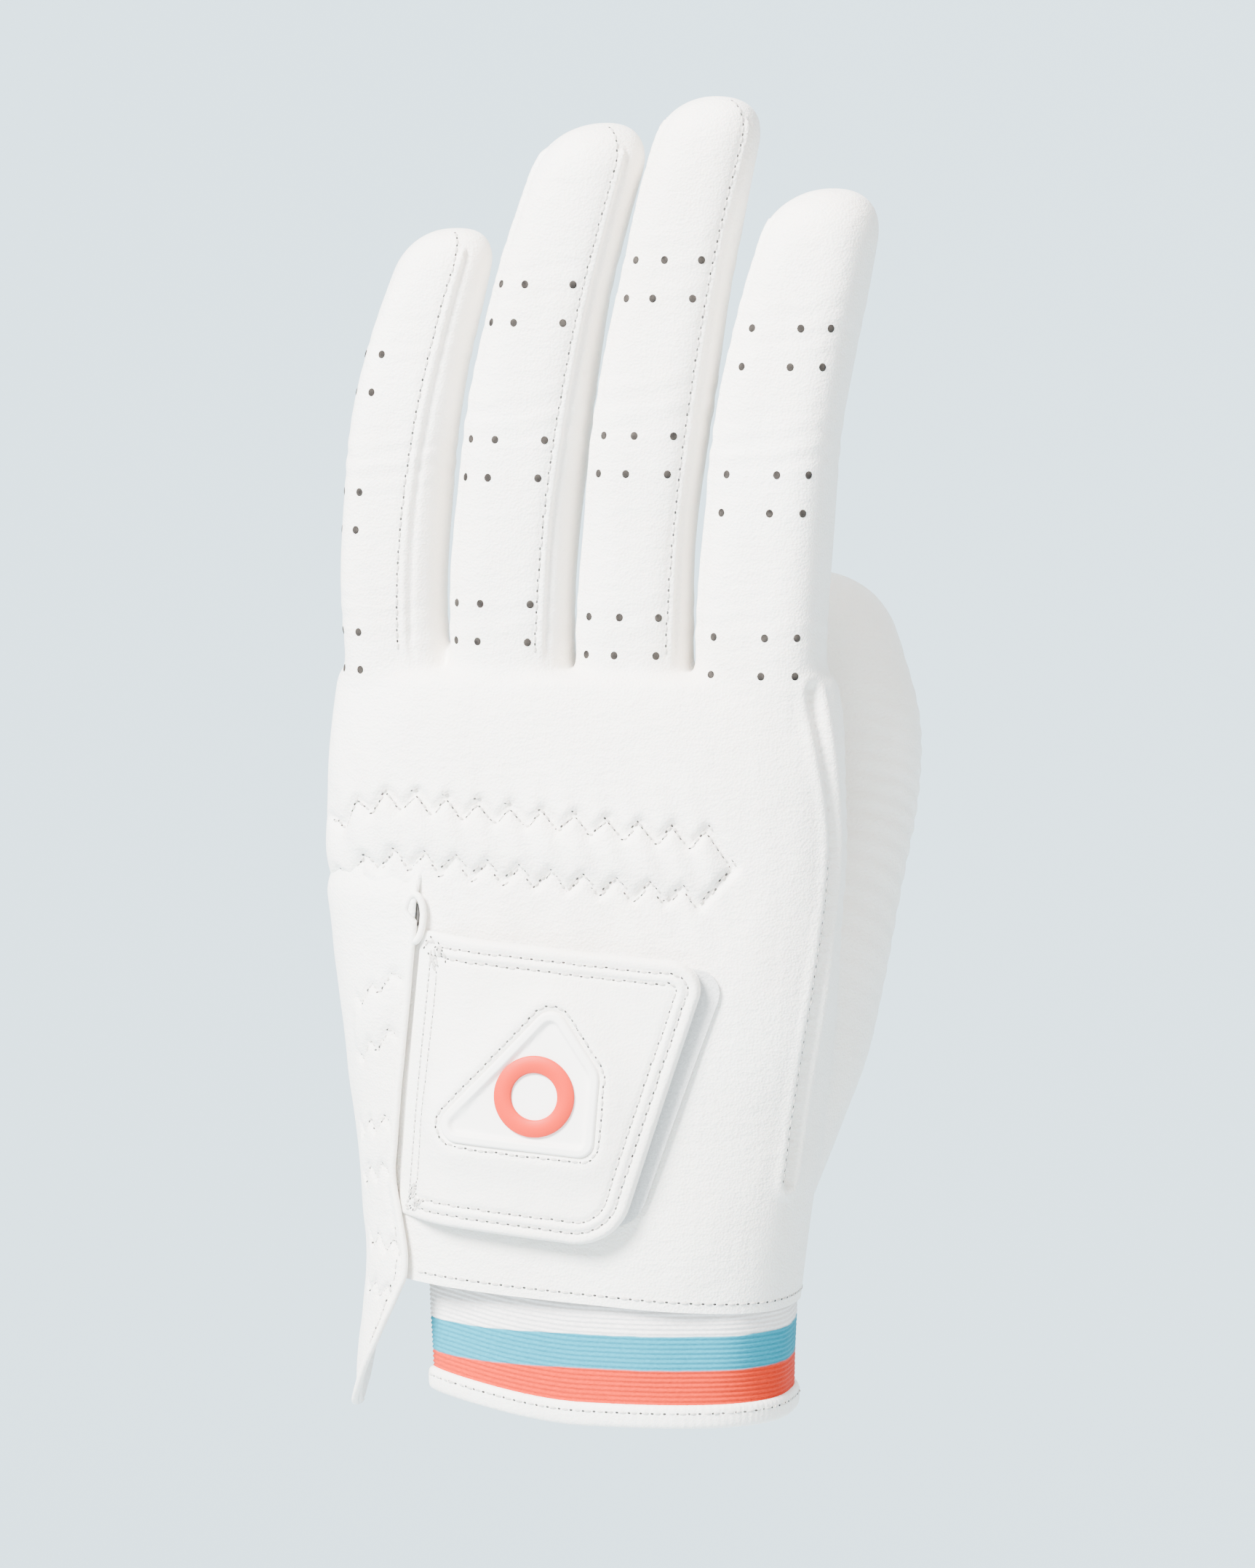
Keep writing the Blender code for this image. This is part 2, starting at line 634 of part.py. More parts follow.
def finger_walls(name, section, low, high, parent):
    """The trank's leather and the fourchettes round one stretch of a finger."""
    surface = finger_surface(name)
    gap = arc_gap(FINGER_HALF_WIDTH[name])
    quarter = 90.0
    half_quarter = 45.0
    if name in ("ring", "middle"):
        for part, middle in (("palm", quarter), ("back", 3.0 * quarter)):
            wall(f"{name}_{section}_{part}", surface,
                 (middle - half_quarter + gap, middle + half_quarter - gap), low, high,
                 "leather", parent, across=4, rows=3)
        for part, middle in (("thumbward", 0.0), ("outward", 2.0 * quarter)):
            wall(f"{name}_{section}_fourchette_{part}", surface,
                 (middle - half_quarter + gap, middle + half_quarter - gap), low, high,
                 "leather", parent, across=4, rows=3)
        return
    seam = 0.0 if name == "little" else 2.0 * quarter
    wall(f"{name}_{section}_wrap", surface,
         (seam + half_quarter + gap, seam + FULL_TURN - half_quarter - gap), low, high,
         "leather", parent, across=12, rows=3)
    wall(f"{name}_{section}_fourchette", surface,
         (seam - half_quarter + gap, seam + half_quarter - gap), low, high, "leather", parent,
         across=4, rows=3)


def make_finger(name):
    """One finger: lower stretch, upper stretch, cap, and the two folds."""
    surface = finger_surface(name)
    knuckle_pivot = add_pivot(f"{name}_knuckle_pivot", (ROOT_X[name], 0.0, PALM_LENGTH))
    middle_z = PALM_LENGTH + MIDDLE_JOINT[name]
    middle_share = MIDDLE_JOINT[name] / FINGER_LENGTH[name]
    middle_y = FINGER_CURL * middle_share**2
    middle_x = (ROOT_X[name] + FINGER_LEAN[name] * middle_share
                + FINGER_CURVE[name] * middle_share**2)
    middle_pivot = add_pivot(f"{name}_middle_pivot", (middle_x, middle_y, middle_z))
    middle_pivot.parent = knuckle_pivot
    middle_pivot.matrix_parent_inverse = knuckle_pivot.matrix_world.inverted()
    bpy.context.view_layer.update()
    palm_edge = below_fold(PALM_LENGTH, 0.0)
    lower_start = above_fold(PALM_LENGTH, 0.0)
    lower_end = below_fold(middle_z, middle_y)
    upper_start = above_fold(middle_z, middle_y)
    tip_top = PALM_LENGTH + FINGER_LENGTH[name]
    tip_start = tip_top - TIP_LENGTH
    wall(f"{name}_knuckle_fold", surface, (0.0, FULL_TURN), moved_edge(palm_edge, CLEARANCE),
         moved_edge(lower_start, -CLEARANCE), "leather", None, across=16, rows=2)
    finger_walls(name, "lower", lower_start, lower_end, knuckle_pivot)
    wall(f"{name}_middle_fold", surface, (0.0, FULL_TURN), moved_edge(lower_end, CLEARANCE),
         moved_edge(upper_start, -CLEARANCE), "leather", knuckle_pivot, across=16, rows=2)
    finger_walls(name, "upper", upper_start, tip_start - CLEARANCE, middle_pivot)
    cap(f"{name}_tip", surface, tip_start, tip_top, "leather", middle_pivot)


def make_thumb():
    """The free part of the thumb above its fold."""
    centre = through(THUMB_STATIONS, THUMB_HINGE_Z)
    pivot = add_pivot("thumb_pivot", (centre[0], centre[1], THUMB_HINGE_Z))
    wall("thumb_fold", thumb_point, (0.0, FULL_TURN),
         THUMB_HINGE_Z - THUMB_HALF_GAP + CLEARANCE, THUMB_HINGE_Z + THUMB_HALF_GAP - CLEARANCE,
         "leather", None, across=16, rows=1)
    tip_start = THUMB_TOP - TIP_LENGTH
    wall("thumb_tube", thumb_point, (0.0, FULL_TURN), THUMB_HINGE_Z + THUMB_HALF_GAP,
         tip_start - CLEARANCE, "leather", pivot, across=16, rows=3)
    cap("thumb_tip", thumb_point, tip_start, THUMB_TOP, "leather", pivot, around=16)


# ---------------------------------------------------------------- closure

def tab_corners():
    """Corners of the closure tab, from its upper root corner round to the lower one."""
    bottom = TAB_TOP - TAB_HEIGHT
    root_top = slit_x(TAB_TOP) + TAB_ROOT_GAP
    root_bottom = slit_x(bottom) + TAB_ROOT_GAP
    return (
        (root_bottom, bottom + 0.0004, 0.0008),
        (root_top + 0.71 * TAB_REACH, bottom - 0.0030, 0.0095),
        (root_top + TAB_REACH, TAB_TOP - 0.0040, 0.0050),
        (root_top, TAB_TOP, 0.0008),
    )


def badge_corners():
    """Corners of the triangular badge, placed from the tab's upper root corner."""
    root = slit_x(TAB_TOP) + TAB_ROOT_GAP
    return (
        (root + 0.04 * TAB_REACH, TAB_TOP - 0.710 * TAB_HEIGHT, 0.0035),
        (root + 0.646 * TAB_REACH, TAB_TOP - 0.755 * TAB_HEIGHT, 0.0030),
        (root + 0.665 * TAB_REACH, TAB_TOP - 0.449 * TAB_HEIGHT, 0.0050),
        (root + 0.496 * TAB_REACH, TAB_TOP - 0.199 * TAB_HEIGHT, 0.0035),
    )


def make_closure():
    """Hook-and-loop patches, the tab's layers and its badge."""
    loop_top = CLEARANCE + LOOP_THICKNESS
    hook_low = loop_top + CLEARANCE
    lining_low = hook_low + HOOK_THICKNESS + CLEARANCE
    rise = lining_low - CLEARANCE

    def level(above):
        """Height above the leather of a layer that follows the tab's lift."""
        def height(x, z):
            from_root = x - slit_x(z) - TAB_ROOT_GAP
            return CLEARANCE + rise * smooth_step(from_root / TAB_LIFT_LENGTH) + above
        return height

    def fixed(value):
        return lambda x, z: value

    tab = dense(rounded(tab_corners()))
    lining_top = LINING
    outer_low = lining_top + CLEARANCE
    outer_top = outer_low + LEATHER
    root_x = slit_x(TAB_TOP) + TAB_ROOT_GAP
    root_bottom_z = TAB_TOP - TAB_HEIGHT
    hinge_height = CLEARANCE + outer_low + TAB_HINGE_RISE
    hinge_top = back_point(root_x, TAB_TOP, hinge_height)
    hinge_bottom = back_point(slit_x(root_bottom_z) + TAB_ROOT_GAP, root_bottom_z, hinge_height)
    pivot = add_pivot("tab_pivot", (hinge_top + hinge_bottom) / 2.0)
    pivot.rotation_mode = "QUATERNION"

    patch_left = root_x + 0.32 * TAB_REACH
    bottom = TAB_TOP - TAB_HEIGHT
    loop_outline = rounded((
        (patch_left - 0.0030, bottom + 0.0012, 0.0020),
        (root_x + 0.77 * TAB_REACH, bottom + 0.0004, 0.0060),
        (root_x + 1.055 * TAB_REACH, TAB_TOP - 0.0058, 0.0040),
        (patch_left - 0.0030, TAB_TOP - 0.0018, 0.0020),
    ))
    slab("loop_patch", loop_outline, fixed(CLEARANCE), fixed(loop_top), "hook_and_loop")
    hook_outline = rounded((
        (patch_left, bottom + 0.0040, 0.0015),
        (root_x + 0.66 * TAB_REACH, bottom + 0.0030, 0.0060),
        (root_x + 0.93 * TAB_REACH, TAB_TOP - 0.0080, 0.0030),
        (patch_left, TAB_TOP - 0.0050, 0.0015),
    ))
    slab("hook_patch", hook_outline, fixed(hook_low), fixed(hook_low + HOOK_THICKNESS),
         "hook_and_loop", pivot)

    inner_tab = inset(tab, TAB_BINDING_WIDTH + CLEARANCE)
    badge = rounded(badge_corners())
    slab("tab_lining", inner_tab, level(0.0), level(lining_top), "lining", pivot)
    slab("tab_binding", tab, level(0.0), level(outer_top), "leather", pivot,
         hole=inset(tab, TAB_BINDING_WIDTH))
    outer = slab("tab_outer", inner_tab, level(outer_low), level(outer_top), "leather", pivot)
    cut_badge_hole(outer, inset(badge, -CLEARANCE), level, outer_top)

    floor_top = outer_low + BADGE_BASE_THICKNESS
    rim_top = floor_top + BADGE_RIM_HEIGHT
    base = slab("badge_base", badge, level(outer_low), level(rim_top), "rubber", pivot,
                pitch=0.005)
    recess = slab("badge_recess_cutter", inset(badge, BADGE_RIM), level(floor_top),
                  level(rim_top + 0.002), "rubber", pivot, pitch=0.005)
    subtract(base, recess)
    corner_x, corner_z = root_x + MARK_CENTRE[0], TAB_TOP + MARK_CENTRE[1]
    ring_steps = 32
    circle = [Vector((math.cos(2 * math.pi * k / ring_steps),
                      math.sin(2 * math.pi * k / ring_steps))) for k in range(ring_steps)]
    centre = Vector((corner_x, corner_z))
    mark_low = floor_top + CLEARANCE
    slab("badge_mark", [centre + p * MARK_RADIUS for p in circle], level(mark_low),
         level(mark_low + MARK_THICKNESS), "coral", pivot,
         hole=[centre + p * (MARK_RADIUS - MARK_WIDTH) for p in circle])


def cut_badge_hole(outer, outline, level, outer_top):
    """Open the tab's leather where the badge is set in."""
    spare = 0.002
    cutter = slab("badge_hole_cutter", outline, level(-spare), level(outer_top + spare),
                  "leather", outer.parent, pitch=0.005)
    subtract(outer, cutter)


def subtract(obj, cutter):
    """Cut one object with another, which stays as a hidden guide."""
    cutter.hide_render = True
    cutter.display_type = "WIRE"
    modifier = obj.modifiers.new("cut", "BOOLEAN")
    modifier.operation = "DIFFERENCE"
    modifier.object = cutter
    modifier.solver = "EXACT"


def main():
    clear_scene()
    make_hand()
    for name in NAMES:
        make_finger(name)
    make_thumb()
    make_closure()


main()
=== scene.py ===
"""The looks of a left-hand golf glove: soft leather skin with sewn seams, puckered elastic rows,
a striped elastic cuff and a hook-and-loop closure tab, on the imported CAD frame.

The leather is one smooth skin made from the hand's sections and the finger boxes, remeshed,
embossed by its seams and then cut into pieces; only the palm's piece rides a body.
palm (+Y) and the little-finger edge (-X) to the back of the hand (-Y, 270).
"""
import json
import math

import bpy
import numpy as np
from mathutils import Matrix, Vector, noise
from mathutils.bvhtree import BVHTree


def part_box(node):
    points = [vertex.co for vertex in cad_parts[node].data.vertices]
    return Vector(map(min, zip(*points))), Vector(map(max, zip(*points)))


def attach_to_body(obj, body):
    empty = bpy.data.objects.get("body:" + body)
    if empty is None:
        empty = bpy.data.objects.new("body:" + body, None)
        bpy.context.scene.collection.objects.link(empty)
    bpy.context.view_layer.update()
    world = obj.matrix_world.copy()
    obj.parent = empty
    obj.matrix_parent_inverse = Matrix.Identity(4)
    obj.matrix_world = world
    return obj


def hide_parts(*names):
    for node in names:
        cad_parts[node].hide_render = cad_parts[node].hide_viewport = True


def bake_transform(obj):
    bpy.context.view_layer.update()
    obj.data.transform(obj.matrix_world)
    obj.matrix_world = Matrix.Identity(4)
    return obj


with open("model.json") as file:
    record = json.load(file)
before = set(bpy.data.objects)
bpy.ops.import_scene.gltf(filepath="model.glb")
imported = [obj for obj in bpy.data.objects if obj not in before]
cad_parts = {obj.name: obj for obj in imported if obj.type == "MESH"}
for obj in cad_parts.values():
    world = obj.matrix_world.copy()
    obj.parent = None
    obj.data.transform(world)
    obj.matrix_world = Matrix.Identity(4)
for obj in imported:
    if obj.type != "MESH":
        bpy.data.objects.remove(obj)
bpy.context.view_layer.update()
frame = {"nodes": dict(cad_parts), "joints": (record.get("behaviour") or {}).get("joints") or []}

# ---- camera and stage, in metres and degrees ----
CAMERA_TARGET = (0.0046, 0.0, 0.1104)
CAMERA_DISTANCE = 1.0
CAMERA_AZIMUTH = 14.0
CAMERA_ELEVATION = 6.0
FRAME_HEIGHT = 0.2746
SENSOR = 36.0
FLOOR_Z, STAGE_TOP, STAGE_HALF = -0.45, 3.5, 4.0
STAGE_FRONT, STAGE_BEND, BEND_RADIUS = -2.5, 1.2, 0.8     # along Y
LIGHTS = {              # place, size, power
    "key": ((-0.9, -1.5, 1.6), 0.9, 385.0),
    "fill": ((1.5, -1.3, 0.5), 1.8, 20.0),
    "top": ((0.0, 0.2, 1.9), 1.4, 24.0)}
LIGHT_AIM = (0.0, 0.0, 0.11)
SKY_COLOUR, SKY_STRENGTH = (1.0, 0.99, 0.98, 1.0), 1.15

# ---- hand, the same sizes as the solids ----
PALM_LENGTH = 0.136
SQUARENESS = 2.6
HAND_STATIONS = (      # height, centre X, half width, half depth
    (0.0000, -0.0040, 0.0375, 0.0222),
    (0.0272, -0.0024, 0.0385, 0.0222),
    (0.0612, -0.0020, 0.0428, 0.0200),
    (0.0952, -0.0028, 0.0461, 0.0160),
    (0.1197, -0.0028, 0.0461, 0.0139),
    (0.1360, -0.0034, 0.0438, 0.0108),
)
THUMB_STATIONS = (     # height, centre X, centre Y, radius
    (0.0300, 0.0220, 0.0080, 0.0119),
    (0.0600, 0.0297, 0.0150, 0.0140),
    (0.0900, 0.0358, 0.0235, 0.0129),
    (0.1047, 0.0385, 0.0270, 0.0120),
    (0.1190, 0.0392, 0.0280, 0.0118),
    (0.1340, 0.0359, 0.0290, 0.0116),
    (0.1465, 0.0318, 0.0300, 0.0112),
)
HEM_Z = 0.0222             # lower edge of the leather on the cuff, at X = 0
HEM_TILT = 0.065           # metres of Z per metre of X
PALM_BASE = 0.0100         # lowest and highest rings of the palm
PALM_TOP = 0.1300
FINGER_BASE = 0.118        # a finger's lowest ring, inside the palm
THUMB_BASE = 0.032
THUMB_END = 0.14648        # the thumb's highest ring
THUMB_CAP = 0.0115         # length of its rounded end
LEATHER = 0.0008
VOXEL = 0.0006
FINGERS = ("little", "ring", "middle", "index")
FINGER_SQUARENESS = (3.1, 2.3)   # along the finger and at its tip
FINGER_CURL = 0.0050       # how far a tip comes forward
FINGER_TAPER = 0.08
FINGER_CAP = 0.9           # length of a tip's rounded end, in half widths
PALM, THUMB = -1, 4        # owners of the skin besides the fingers, which are 0 to 3

# ---- seams and holes of the fingers ----
SEAM_ANGLES = {         # at the knuckle and at the tip
    "little": ((289.0, 309.0),), "ring": ((311.0, 321.0), (205.0, 205.0)),
    "middle": ((324.0, 334.0), (205.0, 205.0)), "index": ((205.0, 205.0),)}
STITCH_INSET = 0.0016      # stitch row to the seam
STITCH_PITCH = 0.0019
THREAD_PROUD = 0.00004
THREAD_SECTION = (0.00027, 0.00017)          # half width and half height
NEEDLE_SIZE = (0.00030, 0.00020, 0.00007)    # half length, width and depth
HOLE_ANGLES = {"little": (206.0, 250.0), "ring": (227.0, 260.0, 292.0),
               "middle": (238.0, 269.0, 299.0), "index": (244.0, 277.0, 309.0)}
HOLE_LEVELS = {"little": (0.1820, 0.1580, 0.1335), "ring": (0.1943, 0.1675, 0.1390),
               "middle": (0.1986, 0.1684, 0.1370), "index": (0.1870, 0.1620, 0.1340)}
HOLE_ROW_GAP = 0.0066
HOLE_RADIUS = 0.00066

# ---- elastic rows on the back of the knuckles ----
ZIGZAG_PITCH = 0.0058
ZIGZAG_SWING = 0.0016
ZIGZAG_RIGHT = 0.0222
ZIGZAG_LEFT = -0.0478
ZIGZAG_GAP = 0.0104        # upper row to lower row
ZIGZAG_SHIFT = 0.0012      # how far the lower row's teeth are set off
ZIGZAG_LEVEL = 0.1081      # height of the upper row at its turn down
ZIGZAG_TURN_X = -0.031
ZIGZAG_FALL = 0.097        # metres of Z per metre of X
ZIGZAG_DROOP = 28.0        # how fast it drops past the turn, per metre squared
ARROW_REACH = 0.0046
ZIGZAG_STITCH = 0.00145

# ---- slit, flap and closure, the same sizes as the solids ----
SLIT_TOP = 0.092
SLIT_TOP_X = -0.0298
SLIT_SLANT = 0.0775
TAB_TOP = 0.0857
TAB_HEIGHT = 0.0503
TAB_REACH = 0.0520
TAB_ROOT_GAP = 0.0018
TAB_LIFT_LENGTH = 0.0120
TAB_RISE = 0.0022
TAB_THICKNESS = 0.0016
TAB_TUCK = -0.0001         # root edge past the root line; negative stops short of it
TAB_ROOT_THIN = 0.22       # share of the thickness left at the root
TAB_ROOT_LENGTH = 0.0060   # length over which the root thickens
TAB_EDGE = 0.0009          # radius of the rolled edge
TAB_ROWS = (0.0021, 0.0040)
ROW_START = 0.0012         # nothing of a row is nearer the root than this
ROW_DEPTH = 0.00030
TAB_SWELL = 0.00120        # padding round the badge
BADGE_RIM = 0.0019
BADGE_FLOOR = 0.0021       # above the tab's lower face
BADGE_INSET = 0.0002
BADGE_RIM_HEIGHT = 0.00080
MARK_RADIUS = 0.00705
MARK_WIDTH = 0.0030

# ---- cuff ----
CUFF_ARC = (206.0, 515.0)
CUFF_TOP = 0.0310
CUFF_STITCH = 0.0021

# ---- relief of the skin: heights and depths ----
SEAM_RIDGE, SEAM_GROOVE, STITCH_DIMPLE = 0.00042, 0.00050, 0.00022
KNUCKLE_CREASES = ((0.43, 1.0), (0.70, 0.6), (0.03, 0.7))    # share of the finger, strength
CREASE_HEIGHT, CREASE_PITCH = 0.00010, 0.055
PUCKER_SWELL, PUCKER_GATHER, PUCKER_GROOVE = 0.00080, 0.00030, 0.00110
DRAG_HEIGHT = 0.00012
THUMB_GROOVE, THUMB_RIDGE = 0.00120, 0.00045
THUMB_CREASE, THUMB_CREASE_PITCH = 0.00013, 0.0042
BROAD_UNEVEN, FINE_UNEVEN = 0.00065, 0.00022
STRIPES = (0.0042, 0.0105, 0.0166)   # binding, coral and blue end at these heights
RIB_PITCH = 0.00085
RIB_HEIGHT = 0.00011
CUFF_RISE = 0.0032


# ---------------------------------------------------------------- small mathematics

def table_of(stations, count=400):
    """Samples of a smooth curve through the stations, as (heights, columns of values)."""
    data = np.array(stations)
    z = np.linspace(data[0, 0], data[-1, 0], count)
    index = np.clip(np.searchsorted(data[:, 0], z, side="right") - 1, 0, len(data) - 2)
    before = np.maximum(index - 1, 0)
    after = np.minimum(index + 2, len(data) - 1)
    span = data[index + 1, 0] - data[index, 0]
    t = ((z - data[index, 0]) / span)[:, None]
    start, end = data[index, 1:], data[index + 1, 1:]
    slope_start = (end - data[before, 1:]) / (data[index + 1, 0] - data[before, 0])[:, None]
    slope_end = (data[after, 1:] - start) / (data[after, 0] - data[index, 0])[:, None]
    slope_start, slope_end = slope_start * span[:, None], slope_end * span[:, None]
    values = ((2 * t**3 - 3 * t**2 + 1) * start + (t**3 - 2 * t**2 + t) * slope_start
              + (3 * t**2 - 2 * t**3) * end + (t**3 - t**2) * slope_end)
    return z, values


def lookup(table, z):
    """The table's columns at the heights z."""
    heights, values = table
    return [np.interp(z, heights, values[:, k]) for k in range(values.shape[1])]


def signed_power(value, power):
    """The power of a value's size, with the value's sign."""
    return np.sign(value) * np.abs(value) ** power


def superellipse(angle, half_x, half_y, exponent):
    """Points of a superellipse about the origin, angles in degrees."""
    turn, power = np.radians(angle), 2.0 / exponent
    return (signed_power(np.cos(turn), power) * half_x,
            signed_power(np.sin(turn), power) * half_y)


def smooth(value, low=0.0, high=1.0):
    """0 below low, 1 above high, level at both ends."""
    t = np.clip((value - low) / (high - low), 0.0, 1.0)
    return t * t * (3.0 - 2.0 * t)


def bump(value, width):
    """A bell of height 1 at 0."""
    return np.exp(-(value / width) ** 2)


def noise_at(points, scale, seed):
    """Smooth noise between -1 and 1 at each point."""
    shift = Vector((seed, 1.7 * seed, -seed))
    return np.array([noise.noise(Vector(p) * scale + shift) for p in points])


def finger_curve(name):
    """A finger's root X, lean, curve, half width, length and top, from its solids' boxes."""
    def box_middle(node, axis):
        low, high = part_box(node)
        return (low[axis] + high[axis]) / 2

    low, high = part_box(f"{name}_knuckle_fold")
    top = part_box(f"{name}_tip")[1][2]
    length, root = top - PALM_LENGTH, box_middle(f"{name}_knuckle_fold", 0)
    powers, reach = [], []
    for node in (f"{name}_middle_fold", f"{name}_tip"):
        share = (box_middle(node, 2) - PALM_LENGTH) / length
        powers.append([share, share**2])
        reach.append(box_middle(node, 0) - root)
    lean, curve = np.linalg.solve(np.array(powers), np.array(reach))
    return {"root": root, "lean": lean, "curve": curve, "half": (high[0] - low[0]) / 2,
            "length": length, "top": top}


CURVES = {name: finger_curve(name) for name in FINGERS}
HAND_TABLE = table_of(HAND_STATIONS)
THUMB_TABLE = table_of(THUMB_STATIONS)


def finger_section(name, z):
    """Centre X, centre Y, half width and half depth of a finger at heights z."""
    c = CURVES[name]
    share = (z - PALM_LENGTH) / c["length"]
    up = np.maximum(share, 0.0)
    centre_x = c["root"] + c["lean"] * share + c["curve"] * share**2
    swell = 1.0 + 0.030 * bump(share - 0.45, 0.28) - 0.012 * bump(share - 0.68, 0.08)
    size = (1.0 - FINGER_TAPER * up) * swell
    return centre_x, FINGER_CURL * up**2, c["half"] * size, 0.95 * c["half"] * size


def seam_angle(seam, share):
    """Angle of a seam this far along its finger."""
    return seam[0] + (seam[1] - seam[0]) * np.clip(share, 0.0, 1.0)


def side_of(seam):
    """The direction from a seam to the middle of the finger's back."""
    return -1.0 if seam[0] > 270.0 else 1.0


def dome(below_tip, radius, exponent=2.3):
    """Share of the width left this far below a rounded end."""
    depth = np.clip(1.0 - below_tip / radius, 0.0, 1.0)
    return (1.0 - depth**exponent) ** (1.0 / exponent)


def finger_exponent(below_tip):
    """Squareness of a finger's section this far below its tip."""
    along, at_tip = FINGER_SQUARENESS
    return along + (at_tip - along) * smooth(0.024 - below_tip, 0.0, 0.020)


def finger_point(name, angle, z):
    """Points on a finger's smooth surface."""
    centre_x, centre_y, half_x, half_y = finger_section(name, z)
    below_tip = CURVES[name]["top"] - z
    size = dome(below_tip, FINGER_CAP * CURVES[name]["half"])
    x, y = superellipse(angle, half_x * size, half_y * size, finger_exponent(below_tip))
    return np.stack([centre_x + x, centre_y + y, z + 0 * x], axis=-1)


def hand_point(angle, z):
    """Points on the hand's smooth surface."""
    centre_x, half_x, half_y = lookup(HAND_TABLE, z)
    x, y = superellipse(angle, half_x, half_y, SQUARENESS)
    return np.stack([centre_x + x, y, z + 0 * x], axis=-1)


def hand_normal(angle, z):
    """Level outward normals of the hand's smooth surface."""
    along = hand_point(angle + 0.5, z) - hand_point(angle - 0.5, z)
    normal = np.stack([along[..., 1], -along[..., 0], 0 * along[..., 0]], axis=-1)
    return normal / np.linalg.norm(normal, axis=-1, keepdims=True)


def turn_from_edge(share):
    """Degrees from the widest point of the hand's section to this share of its half width."""
    return np.degrees(np.arccos(np.abs(share) ** (SQUARENESS / 2.0)))


def back_point(x, z, offset):
    """Points on the back of the hand at these X, raised above the leather."""
    centre_x, half_x, _ = lookup(HAND_TABLE, z)
    share = np.clip((x - centre_x) / half_x, -0.985, 0.985)
    turn = turn_from_edge(share)
    angle = np.where(share < 0.0, 180.0 + turn, 360.0 - turn)
    return hand_point(angle, z) + hand_normal(angle, z) * np.asarray(offset)[..., None]


def hem_z(x):
    """Height of the leather's lower edge, which rises towards the little finger."""
    return HEM_Z - HEM_TILT * x


def slit_x(z):
    """X of the vent slit."""
    return SLIT_TOP_X - SLIT_SLANT * (SLIT_TOP - z)


# ---------------------------------------------------------------- mesh helpers

def new_object(name, vertices, faces, material=None, body=None, normals=None):
    """An object from arrays, smooth shaded, riding on a body if one is named."""
    mesh = bpy.data.meshes.new(name)
    mesh.from_pydata(np.asarray(vertices).tolist(), [], [list(map(int, f)) for f in faces])
    mesh.shade_smooth()
    if normals is not None:
        mesh.normals_split_custom_set_from_vertices(np.asarray(normals).tolist())
    obj = bpy.data.objects.new(name, mesh)
    bpy.context.collection.objects.link(obj)
    if material:
        mesh.materials.append(material)
    if body:
        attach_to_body(obj, body)
    return obj


def grid_faces(rows, columns, closed=False):
    """Quads of a grid whose vertices run row by row."""
    steps = columns if closed else columns - 1
    r, c = np.meshgrid(np.arange(rows - 1), np.arange(steps), indexing="ij")
    after = (c + 1) % columns
    first = r * columns
    quads = np.stack([first + c, first + after, first + columns + after,
                      first + columns + c], axis=-1)
    return quads.reshape(-1, 4)


def tube_parts(rings):
    """Vertices and faces of a closed tube with flat ends, from an array of rings."""
    rows, columns, _ = rings.shape
    faces = [list(f) for f in grid_faces(rows, columns, closed=True)]
    faces.append(list(range(columns))[::-1])
    faces.append(list(range((rows - 1) * columns, rows * columns)))
    return rings.reshape(-1, 3), faces


def vertex_normals(vertices, faces):
    """Area-weighted vertex normals of quads."""
    quad = vertices[faces]
    cross = np.cross(quad[:, 2] - quad[:, 0], quad[:, 3] - quad[:, 1])
    normals = np.zeros_like(vertices)
    for corner in range(4):
        np.add.at(normals, faces[:, corner], cross)
    length = np.linalg.norm(normals, axis=1, keepdims=True)
    return normals / np.maximum(length, 1e-12)


def relax(vertices, edges, weight, rounds):
    """Laplacian smoothing with a weight for each vertex."""
    count = np.bincount(edges.ravel(), minlength=len(vertices)).astype(float)[:, None]
    for _ in range(rounds):
        total = np.zeros_like(vertices)
        np.add.at(total, edges[:, 0], vertices[edges[:, 1]])
        np.add.at(total, edges[:, 1], vertices[edges[:, 0]])
        vertices = vertices + (total / count - vertices) * weight[:, None]
    return vertices


# ---------------------------------------------------------------- materials

